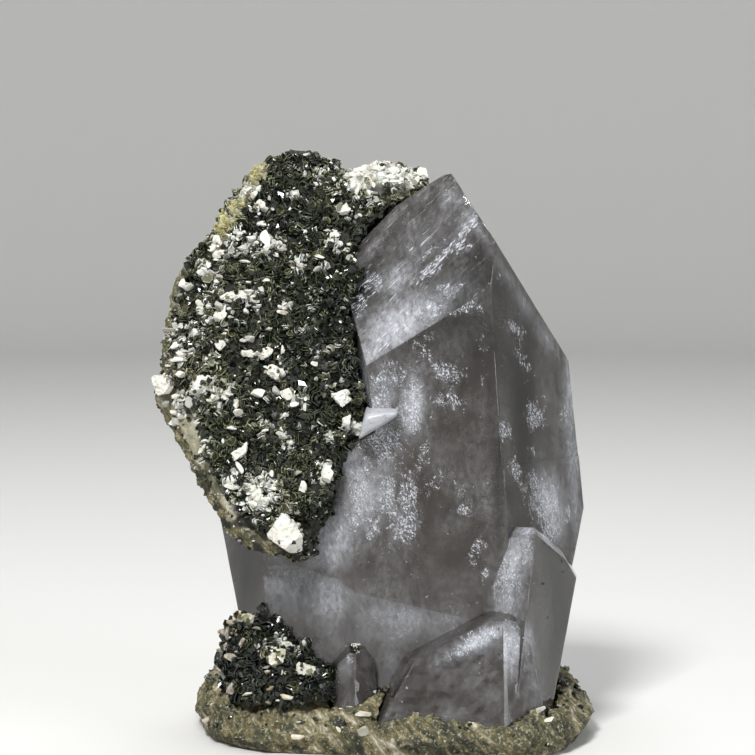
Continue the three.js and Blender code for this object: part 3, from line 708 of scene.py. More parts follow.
# %% Rock finish
def rock_finish(name, pale, olive_share):
    f = Finish(name)
    patches = f.noise((9, 5, 3.2), 6, 0.66, (0, 50, 0), warp=0.7)
    layers = f.noise((8, 2, 0.9), 5, 0.65, (0, 48, 0), warp=0.5)
    grains = f.noise(0.8, 5, 0.75, warp=0.3)
    dark, vein = f.attribute("dark"), f.attribute("vein")
    stains = [
        (0.30, pale), (0.38, (0.34, 0.31, 0.21)), (0.46, (0.19, 0.155, 0.07)), (0.54, (0.08, 0.08, 0.035)),
        (0.62, (0.02, 0.02, 0.013)),
    ]
    colour = f.ramp(patches, stains)
    colour = f.mix(f.ramp(layers, [(0.50, 0.0), (0.60, olive_share)]), colour, rgb(0.035, 0.035, 0.018))
    colour = f.mix(f.ramp(grains, [(0.54, 0.0), (0.64, 0.65)]), colour, rgb(0.62, 0.60, 0.50))
    pale_share = f.times(vein, f.ramp(layers, [(0.36, 0.35), (0.5, 1.0)]))
    vein_colour = f.ramp(patches, [(0.35, (0.47, 0.46, 0.39)), (0.6, (0.29, 0.27, 0.16))])
    colour = f.mix(pale_share, colour, vein_colour)
    colour = f.mix(f.ramp(grains, [(0.36, 0.7), (0.44, 0.0)]), colour, rgb(0.03, 0.03, 0.02))
    f.set(
        Base_Color=f.mix(dark, colour, rgb(0.012, 0.012, 0.009)),
        Roughness=f.ramp(grains, [(0.3, 0.45), (0.7, 0.8)]),
        Specular_IOR_Level=0.4,
    )
    bump = f.bump(layers, 0.9 * MM, 0.7)
    bump = f.bump(f.noise(1.3, 6, 0.7), 0.6 * MM, 0.8, bump)
    f.set(Normal=bump)
    return f


# %% Rock pieces
ROCK_SQUARE = 0.7 * MM
# The height and the size of the rock's lumps and of its grit.
ROCK_LUMPS, ROCK_GRIT = (1.3 * MM, 6 * MM), (0.8 * MM, 1.7 * MM)


def make_rock(node, seed, cut=None):
    bm = even_skin(merged_copy(node), ROCK_SQUARE)
    keep = None if cut is None else (lambda at: at.z < cut)
    rough_up(bm, *ROCK_LUMPS, seed, inward_only=True, keep=keep)
    rough_up(bm, *ROCK_GRIT, seed + 1, inward_only=True, keep=keep)
    return bm


def paint_on_plate(piece, name, places):
    """Paints an attribute by places in the plate's own directions: across it, up it and out of it."""
    spots = read_floats(piece.data.vertices, "co", 3)
    seen = np.array([plate_inverse @ Vector(spot) for spot in spots]) / MM
    shake = np.array([noise.noise(Vector(spot) / (3.5 * MM)) for spot in spots])
    paint(piece.data, name, places(seen[:, 0], seen[:, 1], seen[:, 2], shake), "POINT")


plate_rock = add_piece(
    "plate_rock",
    make_rock("feldspar_plate", 3),
    rock_finish("stained_rock", (0.66, 0.62, 0.48), 0.8),
    replaces=["feldspar_plate"],
)
# Shade and mica dust darken the rock beside the quartz and in hollows under the mica's lower edge. A pale
# vein runs down the left rim, just behind the mica.
paint_on_plate(
    plate_rock,
    "dark",
    lambda u, v, w, shake: np.maximum(
        np.clip((u - 7 + np.abs(v) * 0.05) / 6, 0, 1) * (v < 30) * 0.9,
        np.clip((-30 - v) / 8, 0, 1) * np.clip((shake - 0.02) / 0.12, 0, 1) * 0.95,
    ),
)
paint_on_plate(
    plate_rock,
    "vein",
    lambda u, v, w, shake: np.clip((w + 2.9 + 1.2 * shake) / 0.5, 0, 1) * np.clip((-8 - v) / 6, 0, 1)
    * np.clip((v + 47) / 8, 0.25, 1) * (u < 9),
)
foot_rock = add_piece(
    "foot_rock",
    make_rock("feldspar_base", 5, cut=1.2 * MM),
    rock_finish("foot_stone", (0.68, 0.66, 0.58), 0.5),
    replaces=["feldspar_base"],
)

# %% [markdown]
# ## White feldspar crystals
# The larger white crystals are blocks with slightly rounded edges and a soft pearly break. Each is a copy of
# its solid with bevelled edges, refined and gently roughened. The little milky quartz point is made the same
# way, with faces kept flatter.


# %% White finishes
def feldspar_finish(name, warm, light=(0.78, 0.78, 0.76)):
    f = Finish(name)
    tone = f.noise(3.2, 4, 0.6)
    fine = f.noise(0.7, 5, 0.7)
    colour = f.ramp(tone, [(0.3, light), (0.58, warm), (0.75, (0.50, 0.47, 0.35))])
    colour = f.mix(f.ramp(fine, [(0.55, 0.0), (0.8, 0.5)]), colour, rgb(0.84, 0.84, 0.83))
    colour = f.mix(f.ramp(fine, [(0.33, 0.8), (0.42, 0.0)]), colour, rgb(0.22, 0.20, 0.14))
    colour = f.mix(f.ramp(f.attribute("tone"), [(0.55, 0.0), (1.0, 0.75)]), colour, rgb(0.26, 0.27, 0.24))
    f.set(Base_Color=colour, Roughness=f.ramp(fine, [(0.3, 0.35), (0.7, 0.6)]), Specular_IOR_Level=0.5)
    f.set(Subsurface_Weight=0.15, Subsurface_Scale=0.001)
    f.set(Normal=f.bump(fine, 0.3 * MM, 0.9))
    return f


def milky_finish():
    f = Finish("milky_quartz")
    tone = f.noise((2.5, 1.2, 1.2), 4, 0.6, (0, -15, 0))
    f.set(
        Base_Color=f.ramp(tone, [(0.3, (0.46, 0.48, 0.52)), (0.7, (0.66, 0.68, 0.72))]),
        Roughness=f.ramp(tone, [(0.3, 0.25), (0.7, 0.42)]),
        Transmission_Weight=0.35,
        IOR=1.54,
    )
    f.set(Normal=f.bump(f.noise((1.5, 0.5, 0.5), 4, 0.6, (0, -15, 0)), 0.12 * MM, 0.6))
    return f


# %% White crystals
white_feldspar = feldspar_finish("white_feldspar", (0.74, 0.72, 0.64))
cream_feldspar = feldspar_finish("cream_feldspar", (0.62, 0.58, 0.42))
BLOCK_BREAKS, BLOCK_SQUARE = 12, 0.26 * MM
# The height and the size of a block's lumps and of its grit.
BLOCK_LUMPS, BLOCK_GRIT = (0.8 * MM, 2.4 * MM), (0.28 * MM, 0.7 * MM)
POINT_SQUARE, POINT_SMOOTHING = 0.3 * MM, 26
# Where the milky point's left end is broken off, and the way that the break looks.
POINT_BREAK, BREAK_WAY = Vector((-3.9, -25, 73)) * MM, Vector((-0.97, 0, 0.24))


def make_block(node, seed):
    """A copy of a solid with corners broken off it along flat planes, then an even roughened skin."""
    bm = merged_copy(node)
    low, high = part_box(node)
    middle = (low + high) / 2
    rng = random.Random(seed)
    for _ in range(BLOCK_BREAKS):
        way = scatter(rng, 1, 1, 1).normalized()
        reach = max((v.co - middle).dot(way) for v in bm.verts)
        cut_off(bm, middle + way * reach * rng.uniform(0.5, 0.9), way)
    bm = even_skin(bm, BLOCK_SQUARE)
    rough_up(bm, *BLOCK_LUMPS, seed, inward_only=True)
    rough_up(bm, *BLOCK_GRIT, seed + 1, inward_only=True)
    return bm


ROCKS = ("feldspar_base", "feldspar_plate")
blocks = sorted(n for n in nodes if n.startswith("feldspar_") and n not in ROCKS)
for seed, node in enumerate(blocks):
    finish = cream_feldspar if node == "feldspar_crest" or "foot_" in node else white_feldspar
    add_piece("white_" + node, make_block(node, seed + 10), finish, replaces=[node], sharp=35)
point = merged_copy("milky_quartz_point")
cut_off(point, POINT_BREAK, BREAK_WAY)
point = even_skin(point, POINT_SQUARE)
smooth(point, POINT_SMOOTHING)
add_piece("milky_point", point, milky_finish(), replaces=["milky_quartz_point"], sharp=25)

# %% [markdown]
# ## Mica
# The crust is thousands of little mica books, each two or three thin curved leaves that stand on edge,
# dark olive with a painted highlight along the rim. One book is cheap to make: a leaf is a flat seven-sided
# drum, bent and slightly fanned out from the next. A dozen different books are made once, and copies of them
# are turned, scaled and joined over the near-black ground, whose colour is partly the dark mica and partly
# painted shade between the books. That repeats a few dozen faces some thousand times, which gives the real
# crust's glitter at a small cost. Each vertex carries how near it is to the rim, which places the painted
# highlight, and each book its own tone.


# %% Mica finish
def mica_finish():
    f = Finish("mica_books")
    rim, tone = f.attribute("rim"), f.attribute("tone")
    fine = f.noise(0.5, 4, 0.6)
    bodies = [
        (0.0, (0.002, 0.003, 0.002)), (0.35, (0.006, 0.008, 0.003)), (0.6, (0.035, 0.033, 0.010)),
        (0.8, (0.10, 0.08, 0.028)), (0.9, (0.16, 0.16, 0.11)), (1.0, (0.42, 0.43, 0.41)),
    ]
    edges = [
        (0.0, (0.02, 0.025, 0.022)), (0.35, (0.09, 0.105, 0.06)), (0.7, (0.44, 0.46, 0.31)),
        (1.0, (0.9, 0.92, 0.92)),
    ]
    body, edge = f.ramp(tone, bodies), f.ramp(tone, edges)
    # The rims are painted paler, up to near white, as a painted highlight on the leaves' edges; the tone
    # picks how bright.
    share = f.times(f.ramp(rim, [(0.82, 0.0), (0.98, 1.0)]), f.ramp(fine, [(0.38, 0.1), (0.6, 1.0)]))
    f.set(
        Base_Color=f.mix(share, body, edge),
        Roughness=f.ramp(fine, [(0.3, 0.1), (0.7, 0.28)]),
        Specular_IOR_Level=0.55,
        Coat_Weight=0.12,
        Coat_Roughness=0.1,
    )
    f.set(Normal=f.bump(fine, 0.05 * MM, 0.4))
    return f


def ground_finish():
    f = Finish("mica_ground")
    spots = f.noise(1.2, 5, 0.7)
    shreds = f.noise((0.4, 0.4, 1.4), 4, 0.7, (20, 35, 10))
    # The ground is near black: partly the dark mica, partly painted shade in the gaps between the books.
    depths = [(0.35, (0.004, 0.004, 0.003)), (0.52, (0.010, 0.011, 0.007)), (0.68, (0.04, 0.038, 0.018))]
    colour = f.ramp(spots, depths)
    colour = f.mix(f.ramp(shreds, [(0.62, 0.0), (0.72, 0.5)]), colour, rgb(0.12, 0.12, 0.08))
    f.set(Base_Color=colour, Roughness=0.5, Specular_IOR_Level=0.5)
    f.set(Normal=f.bump(shreds, 0.5 * MM, 0.9))
    return f


mica_books = mica_finish()
mica_ground = ground_finish()


# %% Mica books
LEAF_SIDES, BOOK_SHAPES = 7, 12


def add_leaf(bm, rim_layer, radius, thickness, bend, height, tilt, turn):
    stand = (
        Matrix.Translation((0, 0, height))
        @ Matrix.Rotation(tilt, 4, "X")
        @ Matrix.Rotation(turn, 4, "Z")
    )
    round_it = {"segments": LEAF_SIDES, "radius1": radius, "radius2": radius * 0.96}
    drum = bmesh.ops.create_cone(bm, cap_ends=True, cap_tris=True, depth=thickness, **round_it)["verts"]
    for v in drum:
        far = math.hypot(v.co.x, v.co.y)
        v[rim_layer] = min(1.0, far / radius)
        v.co.y *= 0.82
        v.co.z += bend * (v.co.x**2 - 0.4 * v.co.y**2) / radius
    bmesh.ops.transform(bm, matrix=stand, verts=drum)


def make_book(name, rng, leaves):
    bm = bmesh.new()
    rim_layer = bm.verts.layers.float.new("rim")
    bm.verts.layers.float.new("tone")
    bend, turn, height = rng.uniform(-0.75, 0.75), rng.uniform(0, math.pi), 0.0
    fan = rng.uniform(-0.3, 0.3)
    for i in range(leaves):
        radius = rng.uniform(0.7, 1.1)
        tilt = fan * (i - leaves / 2) + rng.uniform(-0.2, 0.2)
        add_leaf(bm, rim_layer, radius, rng.uniform(0.1, 0.2), bend, height, tilt, turn)
        height += rng.uniform(0.28, 0.55)
        bend += rng.uniform(-0.2, 0.2)
    bmesh.ops.translate(bm, vec=(0, 0, -height / 2), verts=bm.verts)
    bmesh.ops.scale(bm, vec=(MM, MM, MM), verts=bm.verts)
    return mesh_of(name, bm)


rng = random.Random(7)
books = [make_book(f"book_{i}", rng, 2 + i % 2) for i in range(BOOK_SHAPES)]
print("faces in a book:", sorted({len(b.polygons) for b in books}))


# %% [markdown]
# The books need a ground to stand on and places to stand. The ground is the solid's own copy, remeshed,
# smoothed and sunk by about a leaf's radius, so the leaves' tips reach the solid's skin and not past it.
# Places are drawn from the ground's faces by area, and a book that would cross the quartz is left out.


# %% Ground and places
GROUND_SQUARE, GROUND_SMOOTHING, GROUND_GRIT = 0.8 * MM, 5, (0.25 * MM, 2.5 * MM)


def make_ground(node, sink):
    bm = even_skin(merged_copy(node), GROUND_SQUARE)
    smooth(bm, GROUND_SMOOTHING)
    bm.normal_update()
    shell = BVHTree.FromBMesh(bm)
    depths = []
    for v in bm.verts:
        through = shell.ray_cast(v.co - v.normal * 0.05 * MM, -v.normal)[3]
        depths.append(min(sink, 0.3 * through) if through else 0.0)
    for v, depth in zip(bm.verts, depths):
        v.co -= v.normal * depth
    rough_up(bm, *GROUND_GRIT, seed=60, inward_only=True)
    return bm


def draw_places(bm, count, rng, wanted):
    """Places and normals drawn by area from the faces that are wanted."""
    faces = [f for f in bm.faces if wanted(f.calc_center_median(), f.normal)]
    sums, total = [], 0.0
    for f in faces:
        total += f.calc_area()
        sums.append(total)
    picked = rng.choices(faces, cum_weights=sums, k=count)
    places = []
    for f in picked:
        corners = [v.co for v in f.verts]
        a, b = rng.random(), rng.random()
        at = corners[0].lerp(corners[1], a).lerp(corners[3 % len(corners)].lerp(corners[2], a), b)
        places.append((at, f.normal.copy()))
    return places


box_low, box_high = (Vector(c) for c in cad_box)
quartz_tree = tree_of(quartz.data)


def clear_of_quartz(at, radius):
    """Far enough from the quartz's skin, and outside it: a ray from inside meets the skin from behind."""
    ray = Vector((0.03, -1, 0.02))
    _, normal, _, gap = quartz_tree.ray_cast(at, ray)
    outside = gap is None or normal.dot(ray) < 0
    return outside and quartz_tree.find_nearest(at)[3] > radius


def inside_box(at, radius):
    return all(low + radius < c < high - radius for c, low, high in zip(at, box_low, box_high))


# %% [markdown]
# Books could be strewn as instances, but those are lost when the model is exported. So each copy is moved to
# its place and all of them are joined in one mesh. They stand on edge, turned alike where they are near each
# other, as crystals do that grew side by side.


# %% Joining copies
def join_copies(shapes, rows):
    # An emptied copy of a shape has the shapes' attributes, which the joined mesh keeps.
    bm = working_copy(shapes[0])
    bm.clear()
    for shape, matrix, tone in rows:
        copy = shapes[shape].copy()
        copy.transform(matrix)
        copy.attributes["tone"].data.foreach_set("value", [tone] * len(copy.vertices))
        bm.from_mesh(copy, face_normals=False, vertex_normals=False)
        bpy.data.meshes.remove(copy)
    return bm


def standing_along(way):
    return way.to_track_quat("Z", "Y").to_matrix().to_4x4()


def add_copies(name, shapes, rows, finish, sharp):
    print(name, "copies:", len(rows))
    add_piece(name, join_copies(shapes, rows), finish, sharp=sharp)


def tone_between(low, high):
    return lambda at, rng: rng.uniform(low, high)


def book_rows(
    places, rng, tone_of, radius=(0.75, 1.6), lift=0.25, flat_share=0.12, clear=0.5, edge_lift=None
):
    """Most books stand on edge, turned alike where they are near each other, and a share of them lie flat."""
    rows = []
    for at, out in places:
        size, raised = rng.uniform(*radius), lift
        if edge_lift is not None and out.dot(PLATE_OUT) < 0.75:
            size, raised = size * 0.75, edge_lift
        drift = noise.noise(at / (9 * MM)) * math.pi * 2
        lean = rng.gauss(0, 0.5) if rng.random() > flat_share else math.pi / 2 - abs(rng.gauss(0, 0.3))
        turned = Matrix.Rotation(drift + rng.gauss(0, 0.9), 4, "Z")
        stand = standing_along(out) @ (turned @ Matrix.Rotation(math.pi / 2 - lean, 4, "X"))
        spot = at + out * size * raised * MM
        if not (clear_of_quartz(spot, clear * size * MM) and inside_box(spot, size * 1.6 * MM)):
            continue
        stretch = Matrix.Diagonal((size * rng.uniform(0.8, 1.15), size, size * rng.uniform(0.8, 1.3), 1))
        matrix = Matrix.Translation(spot) @ stand @ stretch
        rows.append((rng.randrange(len(books)), matrix, tone_of(at, rng)))
    return rows


# %% [markdown]
# The crust isn't one colour. It is darkest in the middle, more olive and paler towards the left rim, and
# blue-grey near the crest at the top right, so a book's tone comes from where it stands and from chance.


# %% Clusters and tones
# Clusters on the plate: across it, up it, how far they spread, and how many grains they hold.
CLUSTERS = [
    (-18.3, -12, 2.2, 12), (-13.5, -10.8, 2.4, 12), (-8, -12, 2.2, 8), (-18.6, -16.3, 1.6, 8),
    (-20.5, 5, 1.8, 8), (-15.2, 3.5, 1.2, 3), (-13, 10.6, 1.4, 6), (-8.8, 8.9, 1.6, 5),
    (-2.5, 12.7, 1.4, 4), (0.2, 35, 1.3, 5), (2.4, 25.7, 2.4, 9), (-4, 26.2, 2.6, 10), (-9.5, 24, 1.8, 7),
    (-12.5, 19.5, 2, 8), (13, 45.4, 1, 3), (25, 45.6, 4.5, 26), (33, 45, 3.4, 20), (24, 41, 4, 12),
    (7.5, 38.9, 1.4, 3), (18.5, 26.4, 2.2, 8), (9.8, 21.6, 1.6, 3), (14.7, -0.6, 1, 2), (20.4, -12, 0.9, 2),
    (18.1, -23, 1.3, 4), (7.6, -24, 1.4, 5), (2.4, -20, 1, 2), (-4.8, -33, 1.6, 6), (0.5, -35.3, 2.2, 16),
    (1.5, -38, 2.2, 14), (4, -34, 1.8, 8), (16.4, -33.3, 1.4, 5), (17, -29, 1.4, 5), (22.6, -19.2, 1.3, 12),
    (24, -19, 0.8, 8), (6.6, -42.6, 2, 9), (9, -43, 1.6, 6), (-11.8, -24.4, 2, 6), (-20, -1, 1.8, 7),
    (4.5, -6, 1.6, 5), (10.5, -14, 1.3, 3),
]
# The yellow edge at the upper left: its two ends, across the plate and up it.
YELLOW_EDGE = (Vector((-10.8, 28.0)), Vector((-0.3, 46.5)))
# Paler and darker parts: across the plate, up it, how far each reaches both ways, and how much paler it is.
TONE_PATCHES = [(28, 42, 12, 6, 0.35), (-16, -4, 8, 16, 0.12), (17, 2, 10, 26, -0.12), (6, 36, 12, 12, -0.1)]


def crust_tone(at, rng):
    u, v, _ = plate_inverse @ at / MM
    start, end = YELLOW_EDGE
    along = min(1.0, max(0.0, (Vector((u, v)) - start).dot(end - start) / (end - start).length_squared))
    if (start.lerp(end, along) - Vector((u, v))).length < 2.2:
        return rng.uniform(0.6, 0.88)
    pale = 0.28 + 0.004 * max(0.0, -u) + 0.2 * noise.noise(at / (6 * MM))
    for a, b, wide, tall, paler in TONE_PATCHES:
        pale += paler * math.exp(-(((u - a) / wide) ** 2 + ((v - b) / tall) ** 2))
    beside = sum(math.exp(-((u - a) ** 2 + (v - b) ** 2) / (2.2 * spread**2)) for a, b, spread, _ in CLUSTERS)
    if rng.random() < 0.035 + 0.4 * min(1.0, beside):
        return rng.uniform(0.84, 1.0)
    return min(0.9, max(0.02, pale + rng.gauss(0, 0.17)))


# %% Where books and grains stand beside the crust
def rock_with_mica(at, out):
    """The plate's right side, and the rock that shows low on the right and behind the crest."""
    u, v, _ = plate_inverse @ at / MM
    on_side = out.dot(PLATE_OUT) > -0.3 and u > 22 and v < 34
    return on_side or (out.dot(PLATE_OUT) > 0.1 and ((u > 8 and v < 0) or (u > 20 and v > 34)))


def rock_rim(at, out):
    """The bare rim, low on the left."""
    u, v, _ = plate_inverse @ at / MM
    return out.dot(PLATE_OUT) > -0.3 and u < 8 and v < 10


# Where the milky quartz point leaves the plate.
POINT_FOOT = Vector((-4.5, -20, 79)) * MM


def beside_point(at, out):
    return out.dot(PLATE_OUT) > 0 and (at - POINT_FOOT).length < 5 * MM


# How many books and grains are strewn over the crust, the bare rock, round the point and along the rim.
CRUST_BOOKS, ROCK_BOOKS, POINT_BOOKS, RIM_BOOKS, RIM_GRAINS = 3700, 700, 70, 260, 160
# How many books lie on the larger white crystals, so that these sit in the mica and not on it.
BOOKS_ON = {
    "feldspar_ridge_left": 18, "feldspar_block_foot": 3, "feldspar_blade_upper": 5,
    "feldspar_ridge_upper": 7, "feldspar_blade_middle": 2,
}
BOOKS_ON_FOOT = {"feldspar_foot_middle": 24, "feldspar_foot_right": 16, "feldspar_foot_upper": 12}


def books_on_blocks(counts, rng):
    rows = []
    for node, count in counts.items():
        block = working_copy(data_of("white_" + node))
        places = draw_places(block, count, rng, lambda at, out: out.y < 0.3)
        block.free()
        rows += book_rows(places, rng, tone_between(0.1, 0.8), (0.5, 1.0), lift=0.2, flat_share=0.5)
    return rows


# %% Books on the plate
crust_ground = make_ground("mica_crust", 0.9 * MM)
rng = random.Random(21)
places = draw_places(crust_ground, CRUST_BOOKS, rng, lambda at, out: out.dot(PLATE_OUT) > 0.2)
add_piece("mica_crust_ground", crust_ground, mica_ground, replaces=["mica_crust"])
rows = book_rows(places, rng, crust_tone, edge_lift=-0.15)
edge = working_copy(data_of("plate_rock"), data_of("white_feldspar_crest"))
rows += book_rows(draw_places(edge, ROCK_BOOKS, rng, rock_with_mica), rng, crust_tone, radius=(0.6, 1.1))
rows += book_rows(draw_places(edge, POINT_BOOKS, rng, beside_point), rng, crust_tone, radius=(0.6, 1.1))
rim_books = draw_places(edge, RIM_BOOKS, rng, rock_rim)
rim_grains = draw_places(edge, RIM_GRAINS, rng, rock_rim)
rows += book_rows(rim_books, rng, tone_between(0, 0.6), radius=(0.45, 0.85), lift=0.1, flat_share=0.6)
edge.free()
rows += books_on_blocks(BOOKS_ON, rng)
upper = [r for r in rows if (plate_inverse @ r[1].translation).y > 0]
lower = [r for r in rows if (plate_inverse @ r[1].translation).y <= 0]
add_copies("mica_books_upper", books, upper, mica_books, 30)
add_copies("mica_books_lower", books, lower, mica_books, 30)

# %% [markdown]
# ## The patch at the foot
# A second, smaller patch of mica sits low on the left, and some books lie on the blunt top of the little
# crystal beside it. It is made from the same books in the same way as the crust, only darker, because hardly
# any of its leaves catch the light.

# %% Patch at the foot
PATCH_BOOKS, TOP_BOOKS = 1000, 16
# The low crystal beside the patch ends in a blunt top with mica on it.
SMALL_TOP = Vector((-4.4, -31, 23.7)) * MM


def patch_tone(at, rng):
    return min(0.95, max(0.02, rng.gauss(0.05, 0.19)))


patch_ground = make_ground("mica_patch", 0.5 * MM)
rng = random.Random(31)
places = draw_places(patch_ground, PATCH_BOOKS, rng, lambda at, out: out.z > -0.2 and at.z > 9 * MM)
add_piece("mica_patch_ground", patch_ground, mica_ground, replaces=["mica_patch"])
rows = book_rows(places, rng, patch_tone) + books_on_blocks(BOOKS_ON_FOOT, rng)
skin = working_copy(quartz.data)
on_top = draw_places(skin, TOP_BOOKS, rng, lambda at, out: out.z > 0.8 and (at - SMALL_TOP).length < 3.4 * MM)
skin.free()
rows += book_rows(on_top, rng, tone_between(0, 0.5), (0.45, 0.85), lift=0.2, flat_share=0.5, clear=0)
add_copies("mica_books_foot", books, rows, mica_books, 30)

# %% [markdown]
# ## Small white grains
# Hundreds of feldspar grains, from the size of a book down to a speck, sit among the mica, thickest towards
# the lower left. Ten broken lumps are cut from a ball by random planes, every other one flat like a
# splinter, and copies are strewn in clusters and singly, each a little different in size and turn.


# %% Grains
GRAIN_CUTS, GRAIN_SHAPES = 10, 10


def make_grain(name, rng, flat):
    bm = bmesh.new()
    bmesh.ops.create_icosphere(bm, subdivisions=2, radius=0.9)
    for _ in range(GRAIN_CUTS):
        way = scatter(rng, 1, 1, 1).normalized()
        cut_off(bm, way * rng.uniform(0.3, 0.62), way)
    bmesh.ops.dissolve_limit(bm, angle_limit=math.radians(6), verts=bm.verts, edges=bm.edges)
    bmesh.ops.dissolve_degenerate(bm, dist=0.02, edges=bm.edges)
    bmesh.ops.triangulate(bm, faces=bm.faces)
    bmesh.ops.scale(bm, vec=(1.2, 0.9, 0.4 if flat else 0.9), verts=bm.verts)
    bm.verts.layers.float.new("rim")
    bm.verts.layers.float.new("tone")
    bmesh.ops.scale(bm, vec=(MM, MM, MM), verts=bm.verts)
    return mesh_of(name, bm)


rng = random.Random(17)
grains = [make_grain(f"grain_{i}", rng, i % 2 == 1) for i in range(GRAIN_SHAPES)]
print("faces in a grain:", [len(g.polygons) for g in grains])


def grain_rows(places, rng, sizes, clear=0.7):
    rows = []
    for at, out in places:
        size = sizes[0] + (sizes[1] - sizes[0]) * rng.random() ** 3
        spot = at + out * size * 0.3 * MM
        if not (clear_of_quartz(spot, clear * size * MM) and inside_box(spot, size * 1.3 * MM)):
            continue
        turn = any_turn(rng, "X") @ any_turn(rng, "Z")
        shape = Matrix.Diagonal((size, size * rng.uniform(0.5, 1), size * rng.uniform(0.5, 1), 1))
        matrix = Matrix.Translation(spot) @ turn @ shape
        rows.append((rng.randrange(len(grains)), matrix, rng.random()))
    return rows


def among_books(place, rng):
    """The same place, raised to where a grain shows between the leaves."""
    at, out = place
    return at + out * rng.uniform(0.3, 0.9) * MM, out


def on_ground(u, v, rng, mica_only=False):
    """The place on the plate's shown side there, in a list that stays empty past the plate's edge."""
    top = plate_frame @ (Vector((u, v, 20)) * MM)
    at, out, face, _ = ground_tree.ray_cast(top, -PLATE_OUT)
    if at is None or (mica_only and (face >= mica_faces or out.dot(PLATE_OUT) < 0.6)):
        return []
    return [among_books((at, out), rng) if face < mica_faces else (at, out)]


def around(u, v, spread, rng):
    return on_ground(u + rng.gauss(0, spread), v + rng.gauss(0, spread), rng)


# %% Grains on the plate
LOOSE_GRAINS, CREST_GRAINS = 620, 420
mica_faces = len(data_of("mica_crust_ground").polygons)
patch_mesh = data_of("mica_patch_ground")
patch_tree = tree_of(patch_mesh)
standing = working_copy(*(data_of(n) for n in ("mica_crust_ground", "white_feldspar_crest", "plate_rock")))
ground_tree = BVHTree.FromBMesh(standing)
standing.free()
rng = random.Random(23)
spots = []
for u, v, spread, count in CLUSTERS:
    for _ in range(3 * count):
        spots += around(u, v, spread * 0.6, rng)
for _ in range(LOOSE_GRAINS):
    u, v = rng.uniform(-26, 34), rng.uniform(-48, 50)
    if rng.random() < 0.35 + 0.5 * (u < 6):
        spots += on_ground(u, v, rng, mica_only=True)
for _ in range(CREST_GRAINS):
    spots += on_ground(rng.uniform(21, 40), rng.gauss(44.5, 2.2), rng)
rows = grain_rows(spots, rng, (0.4, 2.1)) + grain_rows(rim_grains, rng, (0.3, 0.8))
add_copies("white_grains", grains, rows, white_feldspar, 8)

# %% [markdown]
# ## Splinters and the torn edge
# White splinters stand among the grains in sheaves, and the plate's upper left edge is torn into yellow
# shreds. Both are thin leaves, as in a mica book, so they are copies of the same books with a feldspar
# finish, and need no shape of their own.

# %% Splinters and the torn edge
SHEAF_SPLINTERS, FOOT_SHEAF = 80, Vector((-23, -31, 24.8)) * MM
YELLOW_SHREDS, PALE_SHREDS = 240, 70
spots = []
for u, v, spread, count in CLUSTERS:
    for _ in range(count):
        spots += around(u, v, spread * 0.8, rng)
for _ in range(PALE_SHREDS):
    u, v = YELLOW_EDGE[0].lerp(YELLOW_EDGE[1], rng.uniform(0.45, 0.82))
    spots += around(u, v, 0.7, rng)
for _ in range(SHEAF_SPLINTERS):
    spots.append(patch_tree.find_nearest(FOOT_SHEAF + scatter(rng, 3.2, 1, 1.3) * MM)[:2])
rows = book_rows(spots, rng, tone_between(0, 1), radius=(0.4, 0.95))
add_copies("white_splinters", books, rows, white_feldspar, 20)

# The yellow edge is torn into two stretches, with a pale one between them.
spots = []
for _ in range(YELLOW_SHREDS):
    along = rng.uniform(0.05, 0.5) if rng.random() < 0.68 else rng.uniform(0.78, 1.0)
    u, v = YELLOW_EDGE[0].lerp(YELLOW_EDGE[1], along)
    spots += around(u, v, 0.9, rng)
rows = book_rows(spots, rng, tone_between(0, 1), radius=(0.5, 1.0))
yellow = feldspar_finish("yellow_feldspar", (0.42, 0.38, 0.15), light=(0.60, 0.57, 0.34))
add_copies("yellow_shreds", books, rows, yellow, 30)

# %% [markdown]
# ## Grains at the foot
# The patch and the rock foot carry grains too, brown ones on the patch's left part and pale ones elsewhere.
# Loose mica books are strewn over the rock, half of them lying flat.

# %% Grains and books at the foot
PATCH_GRAINS, BROWN_GRAINS, FOOT_GRAINS, STREWN_BOOKS = 40, 110, 260, 700
patch = working_copy(patch_mesh)
places = draw_places(patch, PATCH_GRAINS, rng, lambda at, out: out.z > -0.1 and at.z > 10 * MM)
places = [among_books(place, rng) for place in places]
brown = draw_places(
    patch, BROWN_GRAINS, rng, lambda at, out: out.z > -0.2 and at.z > 12 * MM and at.x < -24 * MM
)
rows = grain_rows([among_books(place, rng) for place in brown], rng, (0.5, 2.4))
ochre = feldspar_finish("ochre_feldspar", (0.20, 0.15, 0.06))
add_copies("ochre_grains", grains, rows, ochre, 8)
patch.free()
rock = working_copy(foot_rock.data)
places += draw_places(rock, FOOT_GRAINS, rng, lambda at, out: out.z > 0.35)
rows = grain_rows(places, rng, (0.5, 2.4))
add_copies("foot_grains", grains, rows, cream_feldspar, 8)
places = draw_places(rock, STREWN_BOOKS, rng, lambda at, out: out.z > 0.3)
rock.free()
rows = book_rows(places, rng, tone_between(0, 0.75), radius=(0.5, 1.1), lift=0.2, flat_share=0.5)
add_copies("mica_strewn", books, rows, mica_books, 30)

# %% [markdown]
# ## What the quartz holds
# The veils are real cracks inside the crystal, so besides the painted sparkle they get thin white flakes
# just under the surface, which shift against it when the view turns. A few black mica flakes sit in the
# crystal on the right and along the main crystal's edge.


# %% Flakes
def flake_finish(name, colour, roughness):
    f = Finish(name)
    tone = f.noise(0.4, 3, 0.6)
    dim = tuple(c * 0.7 for c in colour)
    f.set(Base_Color=f.ramp(tone, [(0.3, dim), (0.7, colour)]), Roughness=roughness)
    f.set(Normal=f.bump(tone, 0.04 * MM, 0.4))
    return f


def make_flake(name, sides, depth):
    bm = bmesh.new()
    bmesh.ops.create_cone(bm, cap_ends=True, segments=sides, radius1=MM, radius2=0.8 * MM, depth=depth * MM)
    bm.verts.layers.float.new("tone")
    return mesh_of(name, bm)


